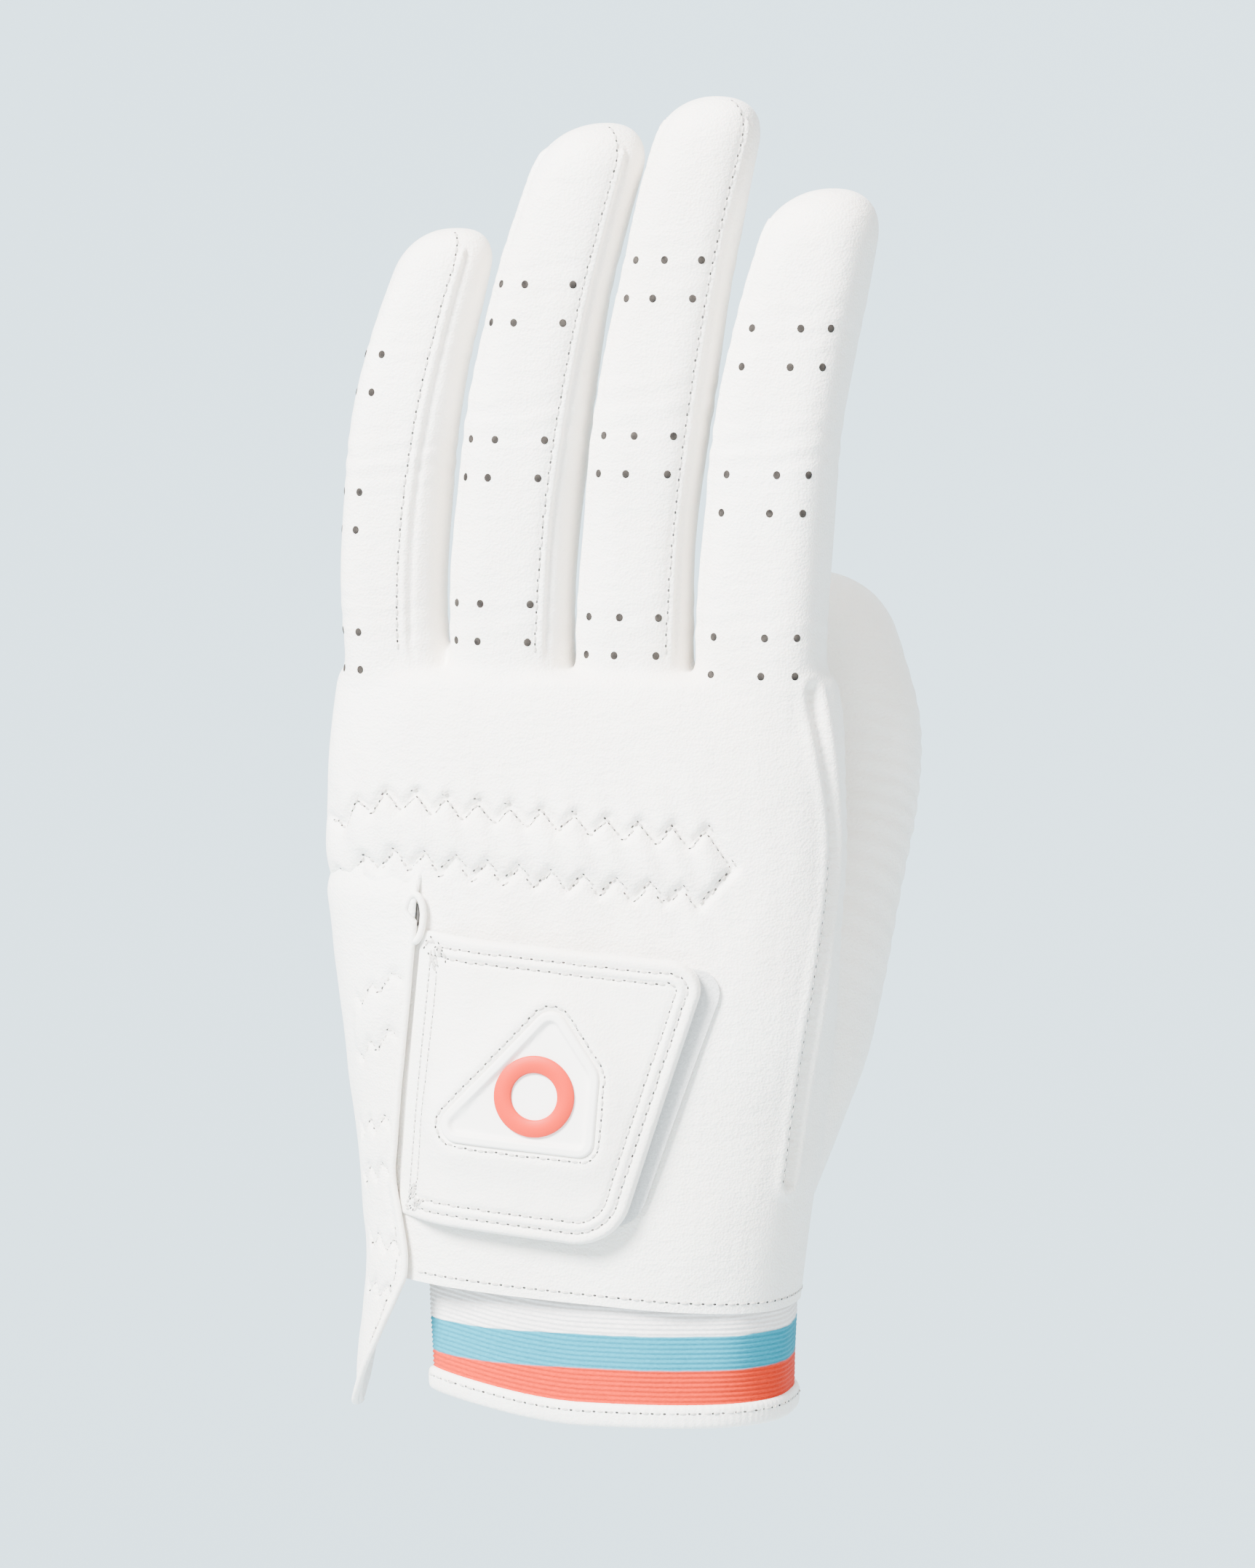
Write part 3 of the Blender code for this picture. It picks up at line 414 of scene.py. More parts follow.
class Nodes:
    """Short forms for building one material's node tree."""

    def __init__(self, name):
        self.material = bpy.data.materials.new(name)
        self.material.use_nodes = True
        self.tree = self.material.node_tree
        self.shader = self.tree.nodes["Principled BSDF"]
        self.place = self.tree.nodes.new("ShaderNodeTexCoord").outputs["Object"]

    def add(self, kind, **values):
        node = self.tree.nodes.new(kind)
        for key, value in values.items():
            if hasattr(node, key):
                setattr(node, key, value)
            else:
                node.inputs[key].default_value = value
        return node

    def link(self, output, target):
        self.tree.links.new(output, target)

    def noise(self, scale, detail=4.0, roughness=0.5, place=None):
        node = self.add("ShaderNodeTexNoise", Scale=scale, Detail=detail, Roughness=roughness)
        self.link(place or self.place, node.inputs["Vector"])
        return node.outputs["Fac"]

    def cells(self, scale):
        node = self.add("ShaderNodeTexVoronoi", Scale=scale)
        self.link(self.place, node.inputs["Vector"])
        return node.outputs["Distance"]

    def ramp(self, value, stops):
        node = self.add("ShaderNodeValToRGB")
        ramp = node.color_ramp
        while len(ramp.elements) < len(stops):
            ramp.elements.new(0.5)
        for element, (place, colour) in zip(ramp.elements, stops):
            element.position = place
            element.color = (*colour, 1.0)
        self.link(value, node.inputs["Fac"])
        return node.outputs["Color"]

    def bump(self, height, strength, distance, normal=None):
        node = self.add("ShaderNodeBump", Strength=strength, Distance=distance)
        self.link(height, node.inputs["Height"])
        if normal is not None:
            self.link(normal, node.inputs["Normal"])
        return node.outputs["Normal"]

    def stretched(self, x, y, z):
        node = self.add("ShaderNodeMapping")
        node.inputs["Scale"].default_value = (x, y, z)
        self.link(self.place, node.inputs["Vector"])
        return node.outputs["Vector"]

    def set(self, **values):
        for key, value in values.items():
            self.shader.inputs[key.replace("_", " ")].default_value = value


def leather_material(name, tone=1.0, grain=1.0):
    """Soft white cabretta: fine pores, faint stretch lines, slight tone changes, low sheen."""
    n = Nodes(name)
    base = np.array((0.925, 0.880, 0.820)) * tone
    shade = base * np.array((0.955, 0.935, 0.915))
    tones = n.ramp(n.noise(34.0, 5.0), [(0.34, shade), (0.66, base)])
    n.link(tones, n.shader.inputs["Base Color"])
    rough = n.ramp(n.noise(190.0, 3.0), [(0.3, (0.50,) * 3), (0.7, (0.66,) * 3)])
    n.link(rough, n.shader.inputs["Roughness"])
    pores = n.bump(n.cells(2200.0), 0.35 * grain, 0.0003)
    creases = n.noise(260.0, 6.0, 0.62, n.stretched(1.0, 1.0, 2.4))
    creased = n.bump(creases, 0.50 * grain, 0.0006, pores)
    folds = n.bump(n.noise(70.0, 4.0, 0.55, n.stretched(1.6, 1.6, 0.7)), 0.30, 0.0016, creased)
    n.link(folds, n.shader.inputs["Normal"])
    n.set(Sheen_Weight=0.18, Sheen_Roughness=0.45, Subsurface_Weight=0.10,
          Subsurface_Scale=0.002, Specular_IOR_Level=0.38)
    return n.material


def toned_material(name, dark, light, tone, relief=None, low=0.3, **settings):
    """Two close tones mixed by a noise (scale, detail) and, if named, a fine relief:
    scale, detail and roughness of its noise, strength and distance."""
    n = Nodes(name)
    tones = n.ramp(n.noise(*tone), [(low, dark), (0.7, light)])
    n.link(tones, n.shader.inputs["Base Color"])
    if relief:
        height = n.bump(n.noise(*relief[:3]), *relief[3:])
        n.link(height, n.shader.inputs["Normal"])
    n.set(**settings)
    return n.material


def rubber_material(name, colour, roughness):
    """Moulded soft rubber."""
    return toned_material(name, np.array(colour) * 0.96, colour, (120.0, 3.0),
                          (2600.0, 2.0, 0.5, 0.12, 0.0001), Roughness=roughness,
                          Specular_IOR_Level=0.2)


def napped_material(name, colour):
    """Hook-and-loop fabric or lining: a close nap of tiny loops."""
    return toned_material(name, np.array(colour) * 0.75, colour, (2400.0, 5.0, 0.7),
                          (2400.0, 5.0, 0.7, 0.9, 0.0004), Roughness=0.95, Sheen_Weight=0.6)


def painted_shade_material(name, dark, light, scale):
    """Painted shade inside a hole: a dark colour standing for it."""
    return toned_material(name, dark, light, (scale, 2.0), Roughness=0.95,
                          Specular_IOR_Level=0.1)


def cuff_material():
    """Knitted elastic with white, blue and coral stripes and a fine cross rib."""
    n = Nodes("striped_elastic")
    split = n.add("ShaderNodeSeparateXYZ")
    n.link(n.place, split.inputs["Vector"])
    wobble = n.add("ShaderNodeMath", operation="MULTIPLY_ADD")
    n.link(n.noise(240.0, 2.0), wobble.inputs[0])
    wobble.inputs[1].default_value = 0.00035
    n.link(split.outputs["Z"], wobble.inputs[2])
    height = n.add("ShaderNodeMath", operation="DIVIDE")
    n.link(wobble.outputs[0], height.inputs[0])
    height.inputs[1].default_value = CUFF_TOP
    coral, blue, white = (0.60, 0.026, 0.004), (0.003, 0.240, 0.330), (0.84, 0.79, 0.76)
    coral_top, blue_top = STRIPES[1] / CUFF_TOP, STRIPES[2] / CUFF_TOP
    edge = 0.004
    bands = n.ramp(height.outputs[0], [
        (0.0, coral), (coral_top - edge, coral), (coral_top + edge, blue),
        (blue_top - edge, blue), (blue_top + edge, white)])
    knit = n.noise(3000.0, 2.0, 0.6, n.stretched(0.5, 0.5, 1.0))
    mix = n.add("ShaderNodeMix", data_type="RGBA", blend_type="MULTIPLY")
    mix.inputs[0].default_value = 1.0
    grey = n.ramp(knit, [(0.3, (0.80,) * 3), (0.7, (1.0,) * 3)])
    n.link(bands, mix.inputs[6])
    n.link(grey, mix.inputs[7])
    n.link(mix.outputs[2], n.shader.inputs["Base Color"])
    n.link(n.bump(knit, 0.5, 0.0002), n.shader.inputs["Normal"])
    n.set(Roughness=0.8, Sheen_Weight=0.03, Specular_IOR_Level=0.12)
    return n.material


LEATHER_SKIN = leather_material("cabretta_leather")
LEATHER_TAB = leather_material("tab_leather", 0.985, 0.6)
LEATHER_EDGE = leather_material("binding_leather", 1.0, 0.5)
# Thread greyer than the white thread itself: painted shade along the stitches.
THREAD_COLOUR = (0.62, 0.58, 0.53)
THREAD = toned_material("sewing_thread", np.array(THREAD_COLOUR) * 0.82, THREAD_COLOUR,
                        (3200.0, 2.0), (4200.0, 1.0, 0.5, 0.5, 0.0001), 0.35,
                        Roughness=0.7, Sheen_Weight=0.2)
# Painted shade inside the punched holes: dark marks standing for it.
HOLE_PAINTED_SHADE = painted_shade_material("hole_painted_shade", (0.016, 0.014, 0.013), (0.05, 0.042, 0.036), 900.0)
# Painted shade in the needle holes between stitches: dark marks standing for it.
NEEDLE_PAINTED_SHADE = painted_shade_material("needle_painted_shade", (0.035, 0.033, 0.031), (0.10, 0.095, 0.09), 700.0)
CUFF = cuff_material()
RUBBER = rubber_material("badge_rubber", (0.93, 0.885, 0.83), 0.42)
CORAL = rubber_material("coral_rubber", (0.60, 0.022, 0.005), 0.50)
NAP = napped_material("loop_nap", (0.82, 0.81, 0.79))
LINING = napped_material("tab_lining_cloth", (0.80, 0.79, 0.77))
BACKDROP = toned_material("pale_backdrop", (0.515, 0.645, 0.712), (0.520, 0.651, 0.718),
                          (2.0, 2.0), Roughness=1.0, Specular_IOR_Level=0.0)


# ---------------------------------------------------------------- the skin

def palm_rings():
    around = np.linspace(0.0, 360.0, 120, endpoint=False)
    heights = np.linspace(PALM_BASE, PALM_TOP, 70)
    rings = np.array([hand_point(around, z + 0 * around) for z in heights])
    for row, z in enumerate(heights):
        size = dome(PALM_TOP + 0.002 - z, 0.010, 2.6)
        middle = rings[row].mean(axis=0)
        rings[row, :, 1] = middle[1] + (rings[row, :, 1] - middle[1]) * (0.72 + 0.28 * size)
    return rings


def crowded(low, high, count):
    """Heights from low to high that crowd together at the top."""
    share = np.linspace(0.0, 1.0, count)
    return low + (high - low) * np.sin(share * math.pi / 2) ** 0.8


def finger_rings(name, around):
    heights = crowded(FINGER_BASE, CURVES[name]["top"] - 0.00002, 90)
    return np.array([finger_point(name, around, z + 0 * around) for z in heights])


def thumb_rings(around):
    rings = []
    for z in crowded(THUMB_BASE, THUMB_END, 70):
        x, y, radius = (float(v) for v in lookup(THUMB_TABLE, z))
        size = float(dome(THUMB_STATIONS[-1][0] - z, THUMB_CAP))
        circle_x, circle_y = superellipse(around, radius * size, radius * size, 2.15)
        rings.append(np.stack([x + circle_x, y + circle_y, z + 0 * circle_x], axis=-1))
    return np.array(rings)


def remeshed(parts):
    """The tubes joined into one closed skin: its points, quads and edges."""
    vertices, faces, start = [], [], 0
    for points, quads in parts:
        vertices.append(points)
        faces += [[start + v for v in f] for f in quads]
        start += len(points)
    mesh = bpy.data.meshes.new("skin_source")
    mesh.from_pydata(np.concatenate(vertices).tolist(), [], faces)
    source = bpy.data.objects.new("skin_source", mesh)
    bpy.context.collection.objects.link(source)
    remesh = source.modifiers.new("remesh", "REMESH")
    remesh.mode = "VOXEL"
    remesh.voxel_size = VOXEL
    done = source.evaluated_get(bpy.context.evaluated_depsgraph_get())
    result = bpy.data.meshes.new_from_object(done)
    bpy.data.objects.remove(source)
    points = np.empty(len(result.vertices) * 3)
    result.vertices.foreach_get("co", points)
    quads = np.array([p.vertices[:] for p in result.polygons if len(p.vertices) == 4])
    edges = np.empty(len(result.edges) * 2, np.int64)
    result.edges.foreach_get("vertices", edges)
    bpy.data.meshes.remove(result)
    return points.reshape(-1, 3), quads, edges.reshape(-1, 2)


def union_skin():
    """One closed skin of palm, fingers and thumb, relaxed where they meet."""
    around = np.linspace(0.0, 360.0, 64, endpoint=False)
    rings = [palm_rings(), *(finger_rings(name, around) for name in FINGERS),
             thumb_rings(around)]
    points, quads, edges = remeshed([tube_parts(part) for part in rings])
    webs = bump(points[:, 2] - 0.1345, 0.0075)
    thumb_root = bump(points[:, 2] - 0.094, 0.012) * smooth(points[:, 0], 0.018, 0.028)
    thumb_side = smooth(points[:, 1], 0.002, 0.008) * smooth(points[:, 0], 0.010, 0.02)
    fine = relax(points, edges, np.full(len(points), 0.5), 5)
    scale = (0.0007 / VOXEL) ** 2      # rounds for the same smoothing at any voxel size
    fine = relax(fine, edges, 0.55 * np.clip(webs + thumb_root, 0, 1), int(26 * scale))
    fine = relax(fine, edges, 0.5 * thumb_side * (points[:, 2] < 0.1), int(16 * scale))
    return fine, quads


def owner_of(points):
    """For each point, the index in FINGERS of its finger, or THUMB or PALM."""
    owner = np.full(len(points), PALM)
    z = points[:, 2]
    best = np.full(len(points), 1e9)
    for index, name in enumerate(FINGERS):
        centre_x, _, half_x, _ = finger_section(name, z)
        away = np.abs(points[:, 0] - centre_x) / half_x
        closer = (away < best) & (z > 0.1280)
        owner[closer] = index
        best[closer] = away[closer]
    thumb_x, thumb_y, radius = lookup(THUMB_TABLE, z)
    from_thumb = np.hypot(points[:, 0] - thumb_x, points[:, 1] - thumb_y)
    owner[(from_thumb < radius + 0.0016) & (z > 0.092) & (points[:, 1] > 0.0125)] = THUMB
    return owner


def zigzag_height(x, lower):
    """Middle height of a zigzag row, which droops round the little-finger edge."""
    past_turn = np.maximum(ZIGZAG_TURN_X - x, 0.0)
    z = ZIGZAG_LEVEL - ZIGZAG_FALL * (x - ZIGZAG_TURN_X) - ZIGZAG_DROOP * past_turn**2
    return z - ZIGZAG_GAP * lower


def zigzag_route(lower):
    """Corner points (x, z) of one zigzag row, from the thumb side to the little finger."""
    steps = int((ZIGZAG_RIGHT - ZIGZAG_LEFT) / (ZIGZAG_PITCH / 2))
    route = []
    for step in range(steps + 1):
        x = ZIGZAG_RIGHT - step * ZIGZAG_PITCH / 2 - (ZIGZAG_SHIFT if lower else 0.0)
        swing = ZIGZAG_SWING * (1 if step % 2 == 0 else -1) * (-1 if lower else 1)
        route.append((x, float(zigzag_height(np.array(x), lower)) + swing))
    return route


def arrow_route():
    """The point that joins the two zigzag rows at the thumb side."""
    upper, lower = zigzag_route(0)[0], zigzag_route(1)[0]
    tip = (ZIGZAG_RIGHT + ARROW_REACH, (upper[1] + lower[1]) / 2)
    return [upper, tip, lower]


def distance_to_route(x, z, route):
    """Distance in the XZ plane from points to a polyline."""
    best = np.full(len(x), 1e9)
    for (ax, az), (bx, bz) in zip(route[:-1], route[1:]):
        dx, dz = bx - ax, bz - az
        t = np.clip(((x - ax) * dx + (z - az) * dz) / (dx * dx + dz * dz), 0.0, 1.0)
        best = np.minimum(best, np.hypot(x - ax - t * dx, z - az - t * dz))
    return best


def thumb_seam_points():
    """The curve where the thumb is set into the hand, from the web down to the cuff."""
    z = np.linspace(0.128, 0.043, 60)
    angle = 338.0 + 9.0 * smooth(z, 0.06, 0.10) - 12.0 * smooth(z, 0.100, 0.128)
    return hand_point(angle, z)


def emboss(points, normals, owner):
    """How far each point of the skin moves along its normal: seams, puckers, creases, folds."""
    x, y, z = points.T
    lift = np.zeros(len(points))
    back = smooth(-normals[:, 1], -0.1, 0.3)
    for index, name in enumerate(FINGERS):
        centre_x, centre_y, half_x, half_y = finger_section(name, z)
        power = 0.5 * finger_exponent(CURVES[name]["top"] - z)
        sine = signed_power((y - centre_y) / half_y, power)
        cosine = signed_power((x - centre_x) / half_x, power)
        angle = np.degrees(np.arctan2(sine, cosine)) % 360.0
        mine = (owner == index) * smooth(z, 0.1300, 0.1375)
        share = (z - PALM_LENGTH) / CURVES[name]["length"]
        for seam in SEAM_ANGLES[name]:
            inward = side_of(seam)
            turn = np.radians(seam_angle(seam, share))
            seam_x = signed_power(np.cos(turn), 1.0 / power) * half_x
            seam_y = signed_power(np.sin(turn), 1.0 / power) * half_y
            gap = np.hypot(x - centre_x - seam_x, y - centre_y - seam_y)
            across = np.sign(angle - seam_angle(seam, share)) * inward * gap
            wave = 0.85 + 0.15 * np.cos(z * 2 * math.pi / STITCH_PITCH)
            lift += mine * (SEAM_RIDGE * bump(across - 0.0007, 0.0006)
                            - SEAM_GROOVE * bump(across + 0.0006, 0.0006)
                            - STITCH_DIMPLE * wave * bump(across - STITCH_INSET, 0.00045))
        for centre, strength in KNUCKLE_CREASES:
            waves = np.cos((share - centre) * 2 * math.pi / CREASE_PITCH
                           + 2.0 * np.sin(angle / 30.0))
            lift += CREASE_HEIGHT * strength * mine * waves * bump(share - centre, 0.07)
    upper = distance_to_route(x, z, zigzag_route(0))
    lower = distance_to_route(x, z, zigzag_route(1))
    arrow = distance_to_route(x, z, arrow_route())
    nearest = np.minimum(np.minimum(upper, lower), arrow)
    palm = (owner == PALM) * back
    rows_end = smooth(x, ZIGZAG_RIGHT + 0.006, ZIGZAG_RIGHT - 0.001)
    middle = zigzag_height(x, 0) - ZIGZAG_GAP / 2
    inside = bump(z - middle, 0.0048) * rows_end
    gathers = np.cos((x + 0.35 * (z - middle)) * 2 * math.pi / ZIGZAG_PITCH)
    around_rows = bump(z - middle, 0.0105) * rows_end
    lift += palm * (PUCKER_SWELL * inside + PUCKER_GATHER * gathers * around_rows)
    lift -= palm * PUCKER_GROOVE * bump(nearest, 0.00080)
    drags = np.cos(x * 2 * math.pi / (2.0 * ZIGZAG_PITCH) + 0.9)
    below = smooth(middle - z, 0.006, 0.012) * smooth(middle - z, 0.030, 0.012)
    lift += palm * DRAG_HEIGHT * drags * below * rows_end
    nearest_seam = np.full(len(points), 1.0)
    close = (x > 0.028) & (z > 0.035) & (z < 0.136)
    for place in thumb_seam_points():
        gap = np.linalg.norm(points[close] - place, axis=1)
        nearest_seam[close] = np.minimum(nearest_seam[close], gap)
    lift -= (owner != THUMB) * THUMB_GROOVE * bump(nearest_seam, 0.0010)
    lift += (owner != THUMB) * THUMB_RIDGE * bump(nearest_seam - 0.0022, 0.0011)
    side = smooth(x, 0.020, 0.034) * smooth(y, -0.004, 0.006)
    crease = np.sin((z + 0.55 * y) * 2 * math.pi / THUMB_CREASE_PITCH
                    + 3.0 * np.sin(z * 110.0))
    lift += THUMB_CREASE * crease * side * bump(z - 0.100, 0.030)
    return lift


def unevenness(points):
    """Broad soft unevenness of leather over a hand."""
    coarse = noise_at(points, 42.0, 3.1)
    medium = noise_at(points * np.array((1.0, 1.0, 0.55)), 120.0, 7.7)
    return BROAD_UNEVEN * coarse + FINE_UNEVEN * medium


POINTS, QUADS = union_skin()
NORMALS = vertex_normals(POINTS, QUADS)
if NORMALS[np.argmax(POINTS[:, 2])][2] < 0:
    QUADS = QUADS[:, ::-1]
    NORMALS = -NORMALS
OWNER = owner_of(POINTS)
LIFT = emboss(POINTS, NORMALS, OWNER) + unevenness(POINTS)
POINTS = POINTS + NORMALS * LIFT[:, None]
NORMALS = vertex_normals(POINTS, QUADS)


def surface_of(points, faces, limit=None):
    """A function that finds the surface's nearest point to a place, and the normal there,
    which is turned round where its Y is at or over the limit."""
    tree = BVHTree.FromPolygons(np.asarray(points).tolist(), np.asarray(faces).tolist())

    def on_surface(place):
        found, normal, _, _ = tree.find_nearest(Vector(place))
        normal = np.array(normal)
        if limit is not None and normal[1] >= limit:
            normal = -normal
        return np.array(found), normal

    return on_surface


on_skin = surface_of(POINTS, QUADS)


def skin_piece(name, chosen):
    """A part of the skin as an object, shaded with the whole skin's normals."""
    used, renumbered = np.unique(QUADS[chosen], return_inverse=True)
    return new_object(name, POINTS[used], renumbered.reshape(-1, 4), LEATHER_SKIN,
                      normals=NORMALS[used])


def hand_piece(chosen):
    """The palm's skin, with an inner face behind its lower part that meets it at the hem."""
    faces = QUADS[chosen]
    used, renumbered = np.unique(faces, return_inverse=True)
    faces = renumbered.reshape(-1, 4)
    points, normals = POINTS[used].copy(), NORMALS[used].copy()
    pairs = np.sort(np.concatenate([faces[:, [k, (k + 1) % 4]] for k in range(4)]), axis=1)
    edges, counts = np.unique(pairs, axis=0, return_counts=True)
    rim = edges[counts == 1]
    above = points[rim][:, :, 2] - hem_z(points[rim][:, :, 0])
    rim = rim[(above < 0.0015).all(axis=1)]
    edge = np.unique(rim)
    points[edge, 2] = hem_z(points[edge, 0])
    low = (points[faces][:, :, 2] < 0.075).all(axis=1)
    inner_used, inner_faces = np.unique(faces[low], return_inverse=True)
    start = len(points)
    inner = points[inner_used] - normals[inner_used] * LEATHER
    renumber = {int(v): start + k for k, v in enumerate(inner_used)}
    rim_faces = [(a, b, renumber[int(b)], renumber[int(a)]) for a, b in rim
                 if int(a) in renumber and int(b) in renumber]
    all_points = np.concatenate([points, inner])
    all_faces = faces.tolist() + (start + inner_faces.reshape(-1, 4)[:, ::-1]).tolist()
    all_faces += [list(map(int, f)) for f in rim_faces]
    all_normals = np.concatenate([normals, -normals[inner_used]])
    return new_object("hand_leather", all_points, all_faces, LEATHER_SKIN,
                      normals=all_normals)


ABOVE_KNUCKLE, BELOW_MIDDLE = 0.148, 0.010     # the straight stretch between the two bends
MIDDLE_Z = {name: float(next(j for j in frame["joints"] if j["name"] == f"{name}_middle")
                        ["pos_m"][2]) for name in FINGERS}
SPLIT_Z = {name: (ABOVE_KNUCKLE + MIDDLE_Z[name] - BELOW_MIDDLE) / 2 for name in FINGERS}


def bend_knuckle(obj, name):
    """The piece from the hand to the finger's lower stretch: its place is baked into its mesh
    and it does not bend.
    """
    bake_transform(obj)


def bend_middle(obj, name):
    """The piece from the finger's lower stretch to its upper one: its place is baked into its
    mesh and it does not bend.
    """
    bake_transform(obj)


def cad_names(*starts):
    """Names of the CAD nodes that begin with one of these words."""
    return [n for n in frame["nodes"] if n.startswith(starts)]


def make_skin():
    """Cut the skin into pieces: the palm's rides the hand body; the fingers', split between
    their bends, and the thumb's ride no body.
    """
    owner = np.sort(OWNER[QUADS], axis=1)[:, 2]
    middle = POINTS[QUADS].mean(axis=1)
    hand = (owner == PALM) & (middle[:, 2] > hem_z(middle[:, 0]))
    palm = hand_piece(hand)
    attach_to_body(palm, "hand")
    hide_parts("back_panel", "palm_panel", "index_side_panel", "thumb_base_panel",
                "knuckle_elastic", "wrist_elastic")
    for index, name in enumerate(FINGERS):
        mine = owner == index
        lower = skin_piece(f"{name}_lower_leather", mine & (middle[:, 2] <= SPLIT_Z[name]))
        bend_knuckle(lower, name)
        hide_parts(f"{name}_knuckle_fold", *cad_names(f"{name}_lower_"))
        upper = skin_piece(f"{name}_upper_leather", mine & (middle[:, 2] > SPLIT_Z[name]))
        bend_middle(upper, name)
        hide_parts(f"{name}_middle_fold", f"{name}_tip", *cad_names(f"{name}_upper_"))
    thumb = skin_piece("thumb_leather", owner == THUMB)
    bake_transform(thumb)
    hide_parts("thumb_fold", "thumb_tube", "thumb_tip")


make_skin()


# ---------------------------------------------------------------- thread and holes

def ball(around=6, rows=4):
    """Template of a small ellipsoid along X, with its faces."""
    latitude = np.linspace(-math.pi / 2, math.pi / 2, rows + 1)
    longitude = np.linspace(0, 2 * math.pi, around, endpoint=False)
    grid = np.array([[(math.sin(a), math.cos(a) * math.cos(b), math.cos(a) * math.sin(b))
                      for b in longitude] for a in latitude])
    return grid.reshape(-1, 3), grid_faces(rows + 1, around, closed=True)


BALL = ball()
ROUND_BALL = ball(16, 6)


def scatter(name, places, directions, normals, size, material, shape=BALL):
    """One object of many small ellipsoids laid along their directions."""
    ball_points, ball_faces = shape
    places, directions, normals = (np.array(v) for v in (places, directions, normals))
    side = np.cross(normals, directions)
    side /= np.maximum(np.linalg.norm(side, axis=1, keepdims=True), 1e-9)
    ahead = np.cross(side, normals)
    length, width, height = size
    vertices = (places[:, None, :]
                + ball_points[None, :, 0:1] * ahead[:, None, :] * length
                + ball_points[None, :, 1:2] * side[:, None, :] * width
                + ball_points[None, :, 2:3] * normals[:, None, :] * height)
    faces = ball_faces[None] + (np.arange(len(places)) * len(ball_points))[:, None, None]
    return new_object(name, vertices.reshape(-1, 3), faces.reshape(-1, 4), material)


def travelled(points):
    """Distance along a polyline at each of its points."""
    steps = np.linalg.norm(np.diff(points, axis=0), axis=1)
    return np.concatenate([[0.0], np.cumsum(steps)])


def points_at(points, distance, at):
    """Places on a polyline at these distances along it."""
    return np.stack([np.interp(at, distance, column) for column in points.T], axis=1)


def along_route(points, pitch):
    """Evenly spaced places and directions along a polyline."""
    distance = travelled(points)
    count = max(2, int(round(distance[-1] / pitch)))
    at = (np.arange(count) + 0.5) * distance[-1] / count
    direction = (points_at(points, distance, at + pitch * 0.3)
                 - points_at(points, distance, at - pitch * 0.3))
    direction /= np.maximum(np.linalg.norm(direction, axis=1, keepdims=True), 1e-9)
    return points_at(points, distance, at), direction


def settled(places, surface):
    """A surface's nearest points to the places, and its normals there."""
    found = [surface(p) for p in places]
    return np.array([f[0] for f in found]), np.array([f[1] for f in found])


def stitch_row(name, route, attach, pitch=STITCH_PITCH, surface=on_skin):
    """A row of sewing along a route: thread, and dark marks of painted shade for the needle
    holes between.
    """
    places, directions = along_route(route, pitch)
    spots, normals = settled(places, surface)
    thread = scatter(f"{name}_thread", spots + normals * THREAD_PROUD, directions, normals,
                     (0.31 * pitch, *THREAD_SECTION), THREAD)
    # Dark marks between the stitches paint the shade in the needle holes.
    spots, normals = settled(spots + directions * pitch * 0.5, surface)
    needle = scatter(f"{name}_needle_hole_painted_shade", spots, directions, normals, NEEDLE_SIZE, NEEDLE_PAINTED_SHADE)
    for obj in (thread, needle):
        attach(obj)


def finger_route(name, seam, low, high):
    """The stitch row beside a finger's seam, between two heights."""
    inward = side_of(seam)
    z = np.linspace(low, high, 120)
    top = CURVES[name]["top"]
    turn = seam_angle(seam, (z - PALM_LENGTH) / CURVES[name]["length"])
    z = np.minimum(z, top - 0.0001)
    step = finger_point(name, turn + inward, z) - finger_point(name, turn, z)
    stride = np.linalg.norm(step, axis=1)
    shift = np.clip(STITCH_INSET / np.maximum(stride, 1e-5), 4.0, 40.0)
    return finger_point(name, turn + inward * shift, z)


def make_finger_sewing():
    """Stitches beside the seams of the fingers' thumb sides."""
    for name in FINGERS:
        for seam in SEAM_ANGLES[name]:
            if side_of(seam) > 0:
                continue
            split, top = SPLIT_Z[name], CURVES[name]["top"]
            for part, low, high, bend in (("lower", 0.1335, split, bend_knuckle),
                                          ("upper", split, top - 0.0008, bend_middle)):
                stitch_row(f"{name}_right_{part}", finger_route(name, seam, low, high),
                           lambda obj: bend(obj, name))


def ride_hand(obj):
    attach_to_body(obj, "hand")


def make_zigzag_sewing():
    """Stitches in the two zigzags; the upper row takes in the point that joins them."""
    for lower in (0, 1):
        route = np.array(zigzag_route(lower))
        if not lower:
            route = np.concatenate([np.array(arrow_route())[::-1][:2], route])
        fine = [route[0]]
        for a, b in zip(route[:-1], route[1:]):
            fine += [a + (b - a) * t for t in (0.25, 0.5, 0.75, 1.0)]
        fine = np.array(fine)
        points = back_point(fine[:, 0], fine[:, 1], np.zeros(len(fine)))
        stitch_row("zigzag_lower" if lower else "zigzag_upper", points, ride_hand,
                   ZIGZAG_STITCH)


def make_perforations():
    """Punched holes on the finger backs, as dark marks of painted shade."""
    for name in FINGERS:
        groups = {"lower": [], "upper": []}
        for level in HOLE_LEVELS[name]:
            for row in range(2):
                z = level - row * HOLE_ROW_GAP + HOLE_ROW_GAP / 2
                part = "lower" if z <= SPLIT_Z[name] else "upper"
                groups[part] += [finger_point(name, np.array(angle - 2.0 * row), np.array(z))
                                 for angle in HOLE_ANGLES[name]]
        for part, bend in (("lower", bend_knuckle), ("upper", bend_middle)):
            spots, normals = settled(groups[part], on_skin)
            upward = np.tile((0.0, 0.0, 1.0), (len(spots), 1))
            hole = scatter(f"{name}_{part}_holes", spots, upward, normals,
                           (HOLE_RADIUS * 1.1, HOLE_RADIUS, 0.00014), HOLE_PAINTED_SHADE, ROUND_BALL)
            bend(hole, name)


